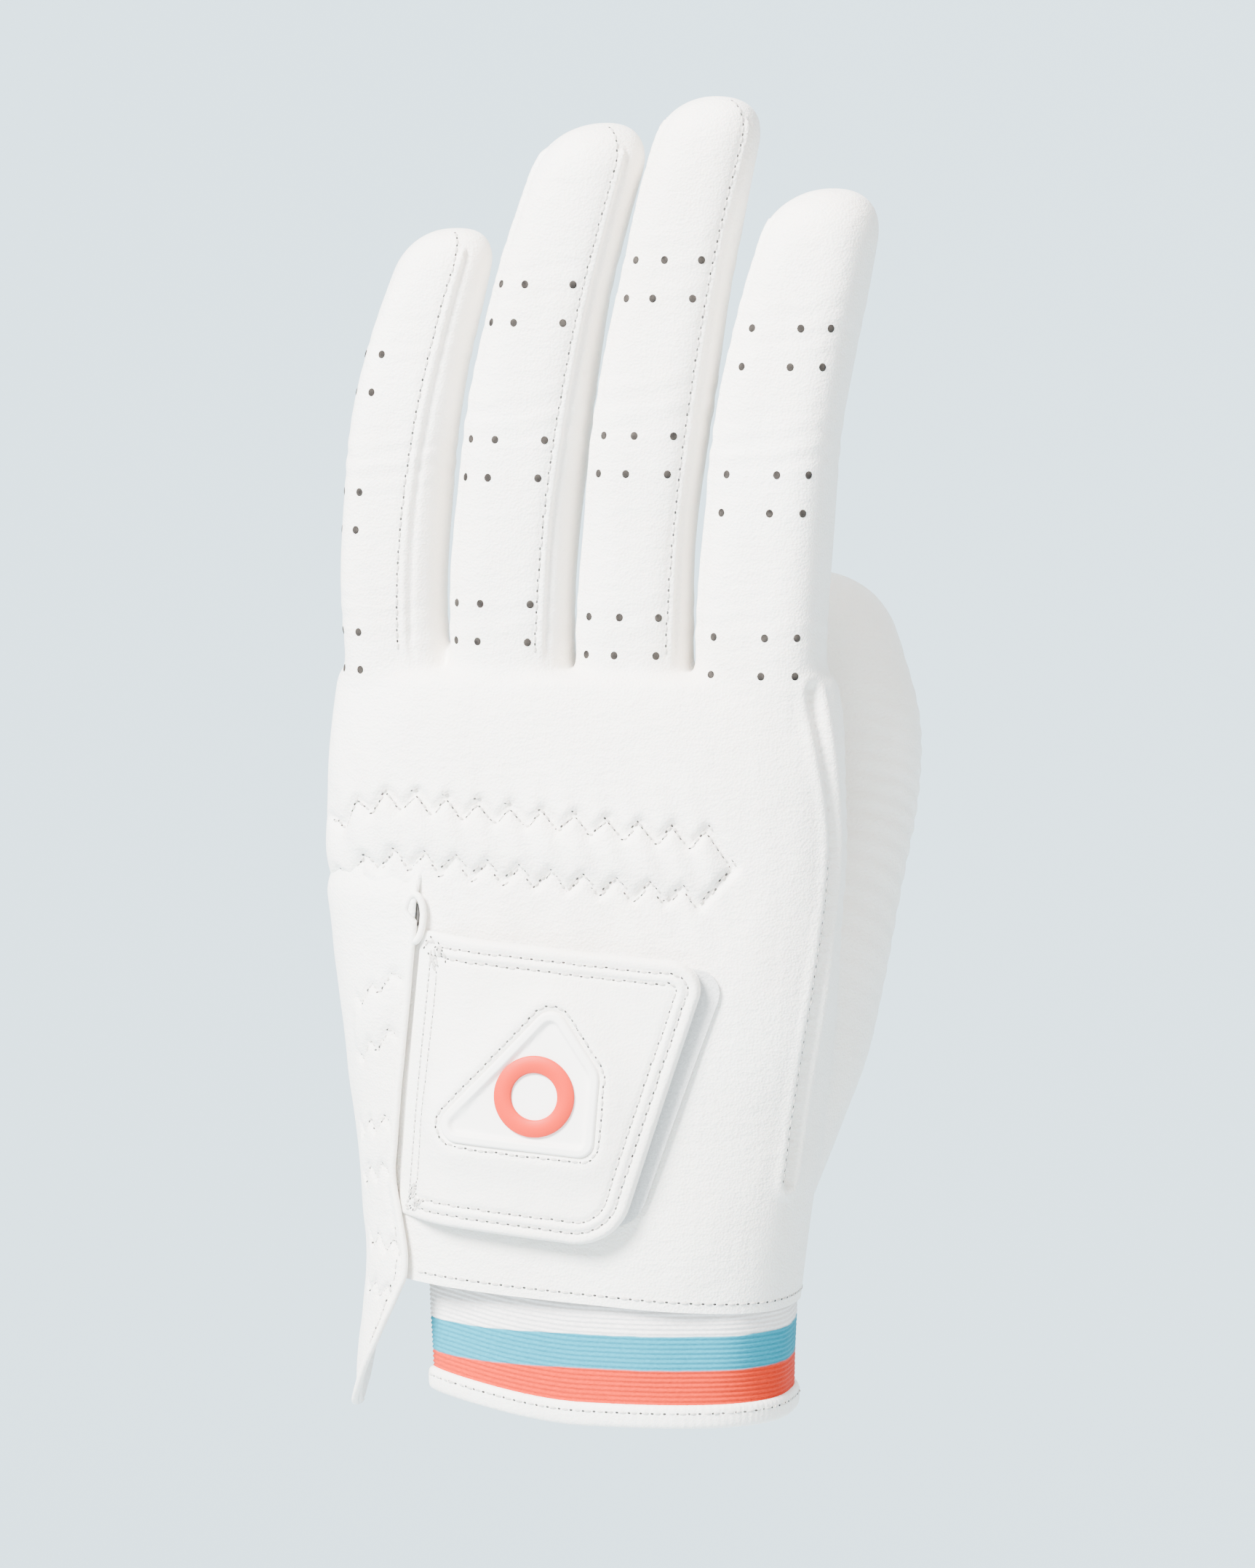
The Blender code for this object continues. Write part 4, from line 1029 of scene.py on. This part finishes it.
make_finger_sewing()
make_zigzag_sewing()
make_perforations()
stitch_row("thumb_seam", thumb_seam_points()[20:] + np.array((0.0, -0.0016, 0.0)), ride_hand)


# ---------------------------------------------------------------- flap, binding and cuff

FLAP_START = 168.0
FLAP_TIP = -0.0010         # height of the flap's point
FLAP_TIP_TURN = 18.0       # degrees from the palm side to the point
FLAP_TURN = 0.0245         # where its edge starts to run round
FLAP_TOP = 0.0990
FLAP_PROUD = 0.00105       # above the hand's smooth surface
FLAP_FLARE = 0.0016        # more than that at the lower end
FLAP_SECTION = 0.03        # radius that turns degrees round the hand into metres
FLAP_GROOVE, FLAP_SWELL = 0.00075, 0.00055


def flap_edge(z):
    """X of the flap's free edge: the slit, which curves away to the pointed lower end."""
    return slit_x(z) + 0.0008 + 0.0040 * smooth(z, 0.045, 0.026)


def flap_width(z):
    """Share of the flap's full width at a height: it runs to a point at the bottom."""
    return np.clip((z - FLAP_TIP) / (FLAP_TURN - FLAP_TIP), 0.0, 1.0) ** 0.5


def flap_start(z):
    """Angle of the flap's palm side."""
    return FLAP_START + FLAP_TIP_TURN * (1.0 - flap_width(z))


def flap_end(z):
    """Angle of the flap's free edge, which runs round to a point at the bottom."""
    centre_x, half_x, _ = lookup(HAND_TABLE, z)
    share = np.clip((flap_edge(z) - centre_x) / half_x, -0.999, 0.985)
    end = 180.0 + turn_from_edge(share)
    return flap_start(z) + (end - FLAP_START) * flap_width(z)


FLAP_PUCKERS = (       # middle height, half the distance of its two rows, fall per metre
    (0.0733, 0.0050, 0.50), (0.0478, 0.0042, 0.20), (0.0252, 0.0042, -0.10))
FLAP_TOOTH = 0.0046
BINDING_RADIUS = 0.00062


def flap_saw(near_edge, slope):
    """Height of a zigzag of the flap, this far from the flap's edge."""
    tooth = 2 * np.abs((near_edge / FLAP_TOOTH + 0.25) % 1.0 - 0.5) - 0.5
    return 0.0026 * tooth - slope * near_edge


def thicken(obj):
    """Give a sheet the leather's thickness, inward."""
    thick = obj.modifiers.new("thickness", "SOLIDIFY")
    thick.thickness = LEATHER
    thick.offset = -1.0


def make_flap():
    """The leather flap on the little-finger side, proud of the skin beside the slit."""
    rows, columns = 170, 60
    z = np.linspace(0.0, 1.0, rows)[:, None] ** 1.15 + np.zeros((1, columns))
    z = FLAP_TIP + 0.0001 + (FLAP_TOP - FLAP_TIP) * z
    end = flap_end(z)
    start = flap_start(z)
    u = np.linspace(0.0, 1.0, columns)[None, :]
    angle = start + (end - start) * u
    near_edge = (end - angle) * np.radians(1.0) * FLAP_SECTION
    points, normal = hand_point(angle, z), hand_normal(angle, z)
    flat = points.reshape(-1, 3)
    uneven = noise_at(flat, 42.0, 3.1).reshape(rows, columns) * 0.00055
    uneven += noise_at(flat, 150.0, 5.5).reshape(rows, columns) * 0.00018
    lift = FLAP_PROUD + uneven + FLAP_FLARE * smooth(0.032 - z, 0.0, 0.026)
    lift -= 0.0022 * smooth(z, 0.0900, 0.0985)
    lift -= 0.0020 * smooth(angle - start, 9.0, 0.0) * smooth(z, 0.024, 0.036)
    reach = smooth(near_edge, 0.0135, 0.0115) * smooth(near_edge, 0.0004, 0.0014)
    for centre, apart, slope in FLAP_PUCKERS:
        for shift in (-apart, apart):
            groove = bump(z - centre - shift - flap_saw(near_edge, slope), 0.0007)
            lift -= FLAP_GROOVE * groove * reach
        lift += FLAP_SWELL * bump(z - centre + slope * near_edge, 0.0042) * reach
    lift += 0.00035 * bump(near_edge - 0.0006, 0.0008)
    lift -= 0.00030 * bump(near_edge - 0.0022, 0.0006)
    points = points + normal * lift[..., None]
    flap = new_object("little_side_flap", points.reshape(-1, 3), grid_faces(rows, columns),
                      LEATHER_SKIN, "hand")
    thicken(flap)
    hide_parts("little_side_panel")
    return points, normal


def make_tube(name, points, radius, material, body):
    """A round cord along points, as a mesh."""
    tangent = np.gradient(points, axis=0)
    tangent /= np.linalg.norm(tangent, axis=1, keepdims=True)
    side = np.cross(tangent, (0.02, 1.0, 0.03))
    side /= np.linalg.norm(side, axis=1, keepdims=True)
    lift = np.cross(side, tangent)
    turn = np.linspace(0, 2 * math.pi, 10, endpoint=False)
    rings = (points[:, None] + radius * (np.cos(turn)[None, :, None] * side[:, None]
                                         + np.sin(turn)[None, :, None] * lift[:, None]))
    return new_object(name, *tube_parts(rings), material, body)


def make_slit_binding(flap_points, flap_normal):
    """The rolled leather edge of the flap, ending in a small loop at the slit's top."""
    edge = flap_points[:, -1] + flap_normal[:, -1] * 0.00005
    z = edge[:, 2]
    lower = edge[z < SLIT_TOP - 0.0045]
    loop_centre_x, loop_base = slit_x(SLIT_TOP) + 0.0004, SLIT_TOP - 0.0038
    loop = []
    for step in range(1, 29):
        turn = math.pi - step * 1.62 * math.pi / 28
        x = loop_centre_x + 0.0017 * math.cos(turn)
        up = loop_base + (0.0036 if math.sin(turn) > 0 else 0.0046) * math.sin(turn)
        loop.append(back_point(np.array(x), np.array(up), np.array(0.00125)))
    route = np.concatenate([lower, np.array(loop)])
    binding = make_tube("slit_edge_binding", route, BINDING_RADIUS, LEATHER_EDGE, "hand")
    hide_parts("slit_binding")
    # A dark patch of painted shade inside the small loop.
    inside = [back_point(np.array(loop_centre_x + 0.0009 * math.cos(a)),
                         np.array(loop_base + 0.0022 * math.sin(a)), np.array(0.0006))
              for a in np.linspace(0, 2 * math.pi, 12, endpoint=False)]
    loop_shade = scatter("slit_loop_painted_shade", [np.mean(inside, axis=0)], [(0.0, 0.0, 1.0)],
                     [(-0.35, -0.93, 0.0)], (0.0024, 0.0009, 0.0002), NEEDLE_PAINTED_SHADE)
    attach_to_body(loop_shade, "hand")


FLAP_POINTS, FLAP_NORMAL = make_flap()
make_slit_binding(FLAP_POINTS, FLAP_NORMAL)
on_flap = surface_of(FLAP_POINTS.reshape(-1, 3), grid_faces(*FLAP_POINTS.shape[:2]), 0.2)


def flap_place(near_edge, z):
    """Point of the hand this far from the flap's edge, measured round the section."""
    return hand_point(flap_end(z) - near_edge / (np.radians(1.0) * FLAP_SECTION), z)


def make_flap_sewing():
    """Stitches in the flap's zigzags and along its free edge."""
    near = np.linspace(0.0014, 0.0118, 60)
    for index, (centre, apart, slope) in enumerate(FLAP_PUCKERS):
        for side in (-1, 1):
            route = flap_place(near, centre + side * apart + flap_saw(near, slope))
            word = "low" if side < 0 else "high"
            stitch_row(f"flap_zigzag_{index + 1}_{word}", route, ride_hand,
                       ZIGZAG_STITCH, on_flap)
    z = np.linspace(0.0060, 0.0330, 60)
    stitch_row("flap_edge_row", flap_place(0.0021 + 0 * z, z), ride_hand, surface=on_flap)


make_flap_sewing()


def cuff_surface(angle, z, offset):
    """The cuff's face, tucked under the hem of the leather."""
    _, _, half_y = lookup(HAND_TABLE, z)
    low, high = (np.array(v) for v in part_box("cuff_elastic"))
    half = (high[0] - low[0]) / 2 + 0 * z
    narrow = smooth(0.02 - z, 0.0, 0.02) * 0.0006
    middle = (high[0] + low[0]) / 2
    depth = half_y - 0.0020 - narrow
    x, y = superellipse(angle, half - narrow + offset, depth + offset, SQUARENESS)
    return np.stack([middle + x, y, z + cuff_rise(middle + x)], axis=-1)


def cuff_rise(x):
    """How far the cuff is drawn up towards the vent slit."""
    return CUFF_RISE * smooth(-x, -0.002, 0.030)


def make_cuff():
    """Ribbed elastic band and its rolled leather binding."""
    rows, columns = (150), 240
    z = np.linspace(STRIPES[0] - 0.0006, CUFF_TOP, rows)[:, None] + np.zeros((1, columns))
    angle = np.linspace(*CUFF_ARC, columns)[None, :] + 0 * z
    ribs = RIB_HEIGHT * np.cos(z * 2 * math.pi / RIB_PITCH)
    ripple = 0.00018 * np.sin(angle / 5.5 + 40.0 * z) * smooth(z, 0.004, 0.012)
    points = cuff_surface(angle, z, ribs + ripple)
    band = new_object("cuff_band", points.reshape(-1, 3), grid_faces(rows, columns), CUFF,
                      "hand")
    thicken(band)
    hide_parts("cuff_elastic")
    around = np.linspace(0, 2 * math.pi, 22, endpoint=False)
    half_height, half_depth = STRIPES[0] / 2, 0.0011
    angle = np.linspace(*CUFF_ARC, 260)[:, None] + 0 * around[None, :]
    depth = half_depth * signed_power(np.cos(around), 2.0 / 3.0)
    height = half_height * signed_power(np.sin(around), 2.0 / 3.0)
    z = half_height + 0.0001 + height[None, :] + 0 * angle
    pucker = 0.00010 * np.cos(angle * 3.3)
    rings = cuff_surface(angle, np.maximum(z, 0.0), -0.0002 + depth[None, :] + pucker)
    rings[..., 2] = z + cuff_rise(rings[..., 0])
    vertices, faces = tube_parts(rings)
    binding = new_object("cuff_edge_binding", vertices, faces, LEATHER_EDGE, "hand")
    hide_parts("cuff_binding")
    row = np.linspace(CUFF_ARC[0] + 2, CUFF_ARC[1] - 2, 300)
    on_binding = surface_of(vertices, [f for f in faces if len(f) == 4])
    route = cuff_surface(row, 0.0029 + 0 * row, 0.0016)
    stitch_row("cuff_binding_row", route, ride_hand, CUFF_STITCH, on_binding)
    hem = np.linspace(232.0, 525.0, 320)
    level = hem_z(hand_point(hem, HEM_Z + 0 * hem)[:, 0]) + 0.0017
    stitch_row("hem_row", hand_point(hem, level), ride_hand, CUFF_STITCH)


make_cuff()


# ---------------------------------------------------------------- closure tab

def rounded(corners, steps=14):
    """A closed outline from (x, z, radius) corners, each rounded by an arc."""
    outline = []
    count = len(corners)
    for index, (x, z, radius) in enumerate(corners):
        here = Vector((x, z))
        to_before = (Vector(corners[index - 1][:2]) - here).normalized()
        to_after = (Vector(corners[(index + 1) % count][:2]) - here).normalized()
        half = to_before.angle(to_after) / 2.0
        centre = here + (to_before + to_after).normalized() * radius / math.sin(half)
        first = here + to_before * radius / math.tan(half) - centre
        last = here + to_after * radius / math.tan(half) - centre
        turn = first.angle(last)
        for step in range(steps + 1):
            part = step / steps
            arm = first * math.sin((1 - part) * turn) + last * math.sin(part * turn)
            outline.append(centre + arm / math.sin(turn))
    return np.array([tuple(p) for p in outline])


def even(outline, pitch):
    """The closed outline with evenly spaced points."""
    loop = np.concatenate([outline, outline[:1]])
    distance = travelled(loop)
    count = int(distance[-1] / pitch)
    return points_at(loop, distance, np.arange(count) * distance[-1] / count)


def edge_distance(points, outline):
    """Signed distance to a closed outline, positive inside."""
    loop = np.concatenate([outline, outline[:1]])
    best = np.full(len(points), 1e9)
    inside = np.zeros(len(points), bool)
    for a, b in zip(loop[:-1], loop[1:]):
        d = b - a
        t = np.clip(((points - a) @ d) / max(d @ d, 1e-18), 0.0, 1.0)
        best = np.minimum(best, np.linalg.norm(points - a - t[:, None] * d, axis=1))
        crosses = (a[1] > points[:, 1]) != (b[1] > points[:, 1])
        with np.errstate(divide="ignore", invalid="ignore"):
            x = a[0] + (points[:, 1] - a[1]) * d[0] / d[1]
        inside ^= crosses & (points[:, 0] < x)
    return np.where(inside, best, -best)


def radial_grid(outline, centre, insets, inner_rings):
    """Rings of points from the outline inward: first at fixed insets, then evenly."""
    arms = outline - centre
    reach = np.linalg.norm(arms, axis=1)
    rings = [outline - arms * (inset / reach)[:, None] for inset in insets]
    last = 1.0 - insets[-1] / reach
    for step in range(1, inner_rings + 1):
        share = last * (1.0 - step / (inner_rings + 0.5))
        rings.append(centre + arms * share[:, None])
    return np.array(rings)


ROOT_X = slit_x(TAB_TOP) + TAB_ROOT_GAP


def from_root(x, z):
    """Distance from the tab's root line."""
    return x - slit_x(z) - TAB_ROOT_GAP


def tab_outline():
    """The tab's edge, from corners placed by its root, top, reach and height."""
    bottom = TAB_TOP - TAB_HEIGHT
    root_bottom = slit_x(bottom) + TAB_ROOT_GAP
    return even(rounded((
        (root_bottom - TAB_TUCK, bottom + 0.0004, 0.0008),
        (ROOT_X + 0.71 * TAB_REACH, bottom - 0.0030, 0.0095),
        (ROOT_X + TAB_REACH, TAB_TOP - 0.0040, 0.0050),
        (ROOT_X - TAB_TUCK, TAB_TOP, 0.0008),
    )), 0.0007)


def badge_outline():
    """The badge's edge, from corners placed by the tab's root and top."""
    return even(rounded((
        (ROOT_X + 0.0021, TAB_TOP - 0.0357, 0.0035),
        (ROOT_X + 0.0336, TAB_TOP - 0.0380, 0.0030),
        (ROOT_X + 0.0346, TAB_TOP - 0.0226, 0.0050),
        (ROOT_X + 0.0258, TAB_TOP - 0.0100, 0.0035),
    )), 0.0006)


BADGE_CENTRE = np.array((ROOT_X + 0.0228, TAB_TOP - 0.0272))


def tab_lift(x, z):
    """Height of the tab's lower face above the leather."""
    return 0.0003 + TAB_RISE * smooth(from_root(x, z) / TAB_LIFT_LENGTH)


def tab_top(flat):
    """Height of the tab's upper face over its lower one, at (x, z) points."""
    from_edge = edge_distance(flat, tab_outline())
    from_badge = -edge_distance(flat, badge_outline())
    height = TAB_THICKNESS * np.sqrt(
        np.clip(1.0 - (1.0 - np.clip(from_edge / TAB_EDGE, 0, 1)) ** 2, 0, 1))
    for row in TAB_ROWS:
        height -= ROW_DEPTH * bump(from_edge - row, 0.00042)
    height += 0.00016 * bump(from_edge - 0.0030, 0.0006)
    around_badge = bump(np.maximum(from_badge, 0), 0.0044)
    height += TAB_SWELL * around_badge * smooth(from_badge, -0.0014, 0.0002)
    height -= 0.0003 * smooth(from_badge, 0.0, -0.0008)
    height -= 0.00035 * bump(from_badge - 0.0003, 0.0006)
    thickening = smooth((from_root(*flat.T) - 0.0008) / TAB_ROOT_LENGTH)
    return height * (TAB_ROOT_THIN + (1.0 - TAB_ROOT_THIN) * thickening)



def make_tab():
    """The tab's leather and its lined underside; returns a finder for its upper face."""
    outline = tab_outline()
    centre = outline.mean(axis=0)
    insets = np.concatenate([[0, 0.00008, 0.0002, 0.00036, 0.00056, 0.0008],
                             np.arange(0.0011, 0.0062, 0.00030)])
    rings = radial_grid(outline, centre, insets, 44)
    count, columns, _ = rings.shape
    flat = rings.reshape(-1, 2)
    height = tab_top(flat)
    uneven = noise_at(np.stack([flat[:, 0], 0 * flat[:, 0], flat[:, 1]], 1), 70.0, 2.0) * 0.0003
    height += uneven * smooth(edge_distance(flat, outline), 0.001, 0.006)
    lift = tab_lift(flat[:, 0], flat[:, 1])
    top = back_point(flat[:, 0], flat[:, 1], lift + height)
    bottom = back_point(flat[:, 0], flat[:, 1], lift)
    faces = grid_faces(count, columns, closed=True)
    start = len(top)
    vertices = np.concatenate([top, bottom, top[-columns:].mean(axis=0)[None],
                               bottom[-columns:].mean(axis=0)[None]])
    all_faces = faces.tolist() + (faces[:, ::-1] + start).tolist()
    for k in range(columns):
        after = (k + 1) % columns
        last = start - columns
        all_faces.append([last + k, last + after, 2 * start])
        all_faces.append([start + last + after, start + last + k, 2 * start + 1])
        all_faces.append([after, k, start + k, start + after])
    tab = new_object("closure_tab_leather", vertices, all_faces, LEATHER_TAB, "tab")
    tab.data.materials.append(LINING)
    lining = np.zeros(len(all_faces), dtype=np.int32)
    lining[len(faces):2 * len(faces)] = 1
    tab.data.polygons.foreach_set("material_index", lining)
    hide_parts("tab_outer", "tab_binding", "tab_lining")
    return surface_of(top, faces, 0.0)


on_tab = make_tab()


def ride_tab(obj):
    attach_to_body(obj, "tab")


def inset_loop(outline, distance):
    """The outline moved inward by a distance, for a convex outline."""
    before, after = np.roll(outline, 1, axis=0), np.roll(outline, -1, axis=0)
    along = after - before
    along /= np.linalg.norm(along, axis=1, keepdims=True)
    normal = np.stack([-along[:, 1], along[:, 0]], axis=1)
    inward = np.sign(((outline.mean(axis=0) - outline) * normal).sum(axis=1))[:, None]
    return outline + normal * inward * distance


def lifted(flat, height):
    """Flat (x, z) points on the tab's side of the hand."""
    return back_point(*flat.T, tab_lift(*flat.T) + height)


def make_tab_sewing():
    """Two rows of stitches inside the tab's edge and one round the badge."""
    for index, inset in enumerate(TAB_ROWS):
        loop = inset_loop(tab_outline(), inset)
        loop = loop[loop[:, 0] > slit_x(loop[:, 1]) + TAB_ROOT_GAP + ROW_START]
        turn = np.arctan2(loop[:, 1] - loop[:, 1].mean(), loop[:, 0] - loop[:, 0].mean())
        loop = loop[np.argsort(turn)]
        jumps = np.linalg.norm(np.diff(loop, axis=0), axis=1)
        gap = np.argmax(jumps)
        if jumps[gap] > np.linalg.norm(loop[0] - loop[-1]):
            loop = np.roll(loop, -(gap + 1), axis=0)
        stitch_row(f"tab_row_{index + 1}", lifted(loop, TAB_THICKNESS), ride_tab,
                   surface=on_tab)
    loop = inset_loop(badge_outline(), -0.0006)
    loop = np.concatenate([loop, loop[:1]])
    stitch_row("badge_row", lifted(loop, TAB_THICKNESS), ride_tab, surface=on_tab)


make_tab_sewing()


def make_badge():
    """White rubber badge with a raised rim, and a plain coral ring inside it."""
    insets = np.array([0, 0.0001, 0.00025, 0.0005, 0.0008, 0.0011, 0.0014, 0.0016, 0.0018,
                       0.0020, 0.0022, 0.0025, 0.003])
    outline = inset_loop(badge_outline(), BADGE_INSET)
    rings = radial_grid(outline, BADGE_CENTRE, insets, 12)
    flat = rings.reshape(-1, 2)
    inset = edge_distance(flat, outline)
    rim = smooth(inset, -0.0001, 0.0005) * smooth(inset, BADGE_RIM + 0.0004, BADGE_RIM - 0.0004)
    height = BADGE_FLOOR + BADGE_RIM_HEIGHT * rim
    height -= 0.0014 * smooth(0.0002 - inset, 0.0, 0.0002)
    top = lifted(flat, height)
    count, columns, _ = rings.shape
    vertices = np.concatenate([top, top[-columns:].mean(axis=0)[None]])
    last = len(top) - columns
    faces = grid_faces(count, columns, closed=True).tolist()
    faces += [[last + k, last + (k + 1) % columns, len(top)] for k in range(columns)]
    badge = new_object("badge_rubber_base", vertices, faces, RUBBER, "tab")
    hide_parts("badge_base")
    turn = np.linspace(0, 2 * math.pi, 96, endpoint=False)
    profile = ((0.0, -0.0001), (0.00004, 0.00042), (0.00022, 0.00058),
               (MARK_WIDTH - 0.00022, 0.00058), (MARK_WIDTH - 0.00004, 0.00042),
               (MARK_WIDTH, -0.0001))
    rows = []
    for inset, up in profile:
        radius = MARK_RADIUS - inset
        flat = BADGE_CENTRE + radius * np.stack([np.cos(turn), np.sin(turn)], axis=1)
        rows.append(lifted(flat, BADGE_FLOOR + up))
    rows = np.array(rows)
    mark = new_object("badge_ring_mark", rows.reshape(-1, 3),
                      grid_faces(len(profile), 96, closed=True), CORAL, "tab")
    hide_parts("badge_mark")


make_badge()
for node, item in (("loop_patch", NAP), ("hook_patch", NAP)):
    piece = frame["nodes"][node]
    for slot in piece.material_slots:
        slot.material = item


# ---------------------------------------------------------------- stage, light and camera

def make_stage():
    """A pale floor that curves up into a backdrop, well clear of the glove."""
    profile = [(STAGE_FRONT, FLOOR_Z), (STAGE_BEND, FLOOR_Z)]
    for step in range(1, 13):
        turn = step / 12 * math.pi / 2
        profile.append((STAGE_BEND + BEND_RADIUS * math.sin(turn),
                        FLOOR_Z + BEND_RADIUS * (1 - math.cos(turn))))
    profile.append((STAGE_BEND + BEND_RADIUS, STAGE_TOP))
    rows = np.array([[(x, y, z) for x in (-STAGE_HALF, STAGE_HALF)] for y, z in profile])
    stage = new_object("studio_floor", rows.reshape(-1, 3), grid_faces(len(profile), 2),
                       BACKDROP)


def add_light(name, place, size, power):
    """A round light that faces the glove's middle."""
    data = bpy.data.lights.new(name, "AREA")
    data.shape = "DISK"
    data.size = size
    data.energy = power
    light = bpy.data.objects.new(name, data)
    bpy.context.collection.objects.link(light)
    light.location = place
    aim = Vector(LIGHT_AIM) - Vector(place)
    light.rotation_euler = aim.to_track_quat("-Z", "Y").to_euler()


def make_lights():
    for name, light in LIGHTS.items():
        add_light(name, *light)
    world = bpy.data.worlds.new("studio")
    world.use_nodes = True
    ground = world.node_tree.nodes["Background"]
    ground.inputs["Color"].default_value = SKY_COLOUR
    ground.inputs["Strength"].default_value = SKY_STRENGTH
    bpy.context.scene.world = world


def make_camera():
    azimuth, elevation = math.radians(CAMERA_AZIMUTH), math.radians(CAMERA_ELEVATION)
    data = bpy.data.cameras.new("camera")
    data.sensor_fit = "VERTICAL"
    data.sensor_height = SENSOR
    data.lens = SENSOR * CAMERA_DISTANCE / FRAME_HEIGHT
    data.clip_end = 20.0
    camera = bpy.data.objects.new("camera", data)
    bpy.context.collection.objects.link(camera)
    arm = Vector((math.sin(azimuth) * math.cos(elevation),
                  -math.cos(azimuth) * math.cos(elevation), math.sin(elevation)))
    target = Vector(CAMERA_TARGET)
    camera.location = target + arm * CAMERA_DISTANCE
    camera.rotation_euler = (-arm).to_track_quat("-Z", "Y").to_euler()
    bpy.context.scene.camera = camera


make_stage()
make_lights()
make_camera()
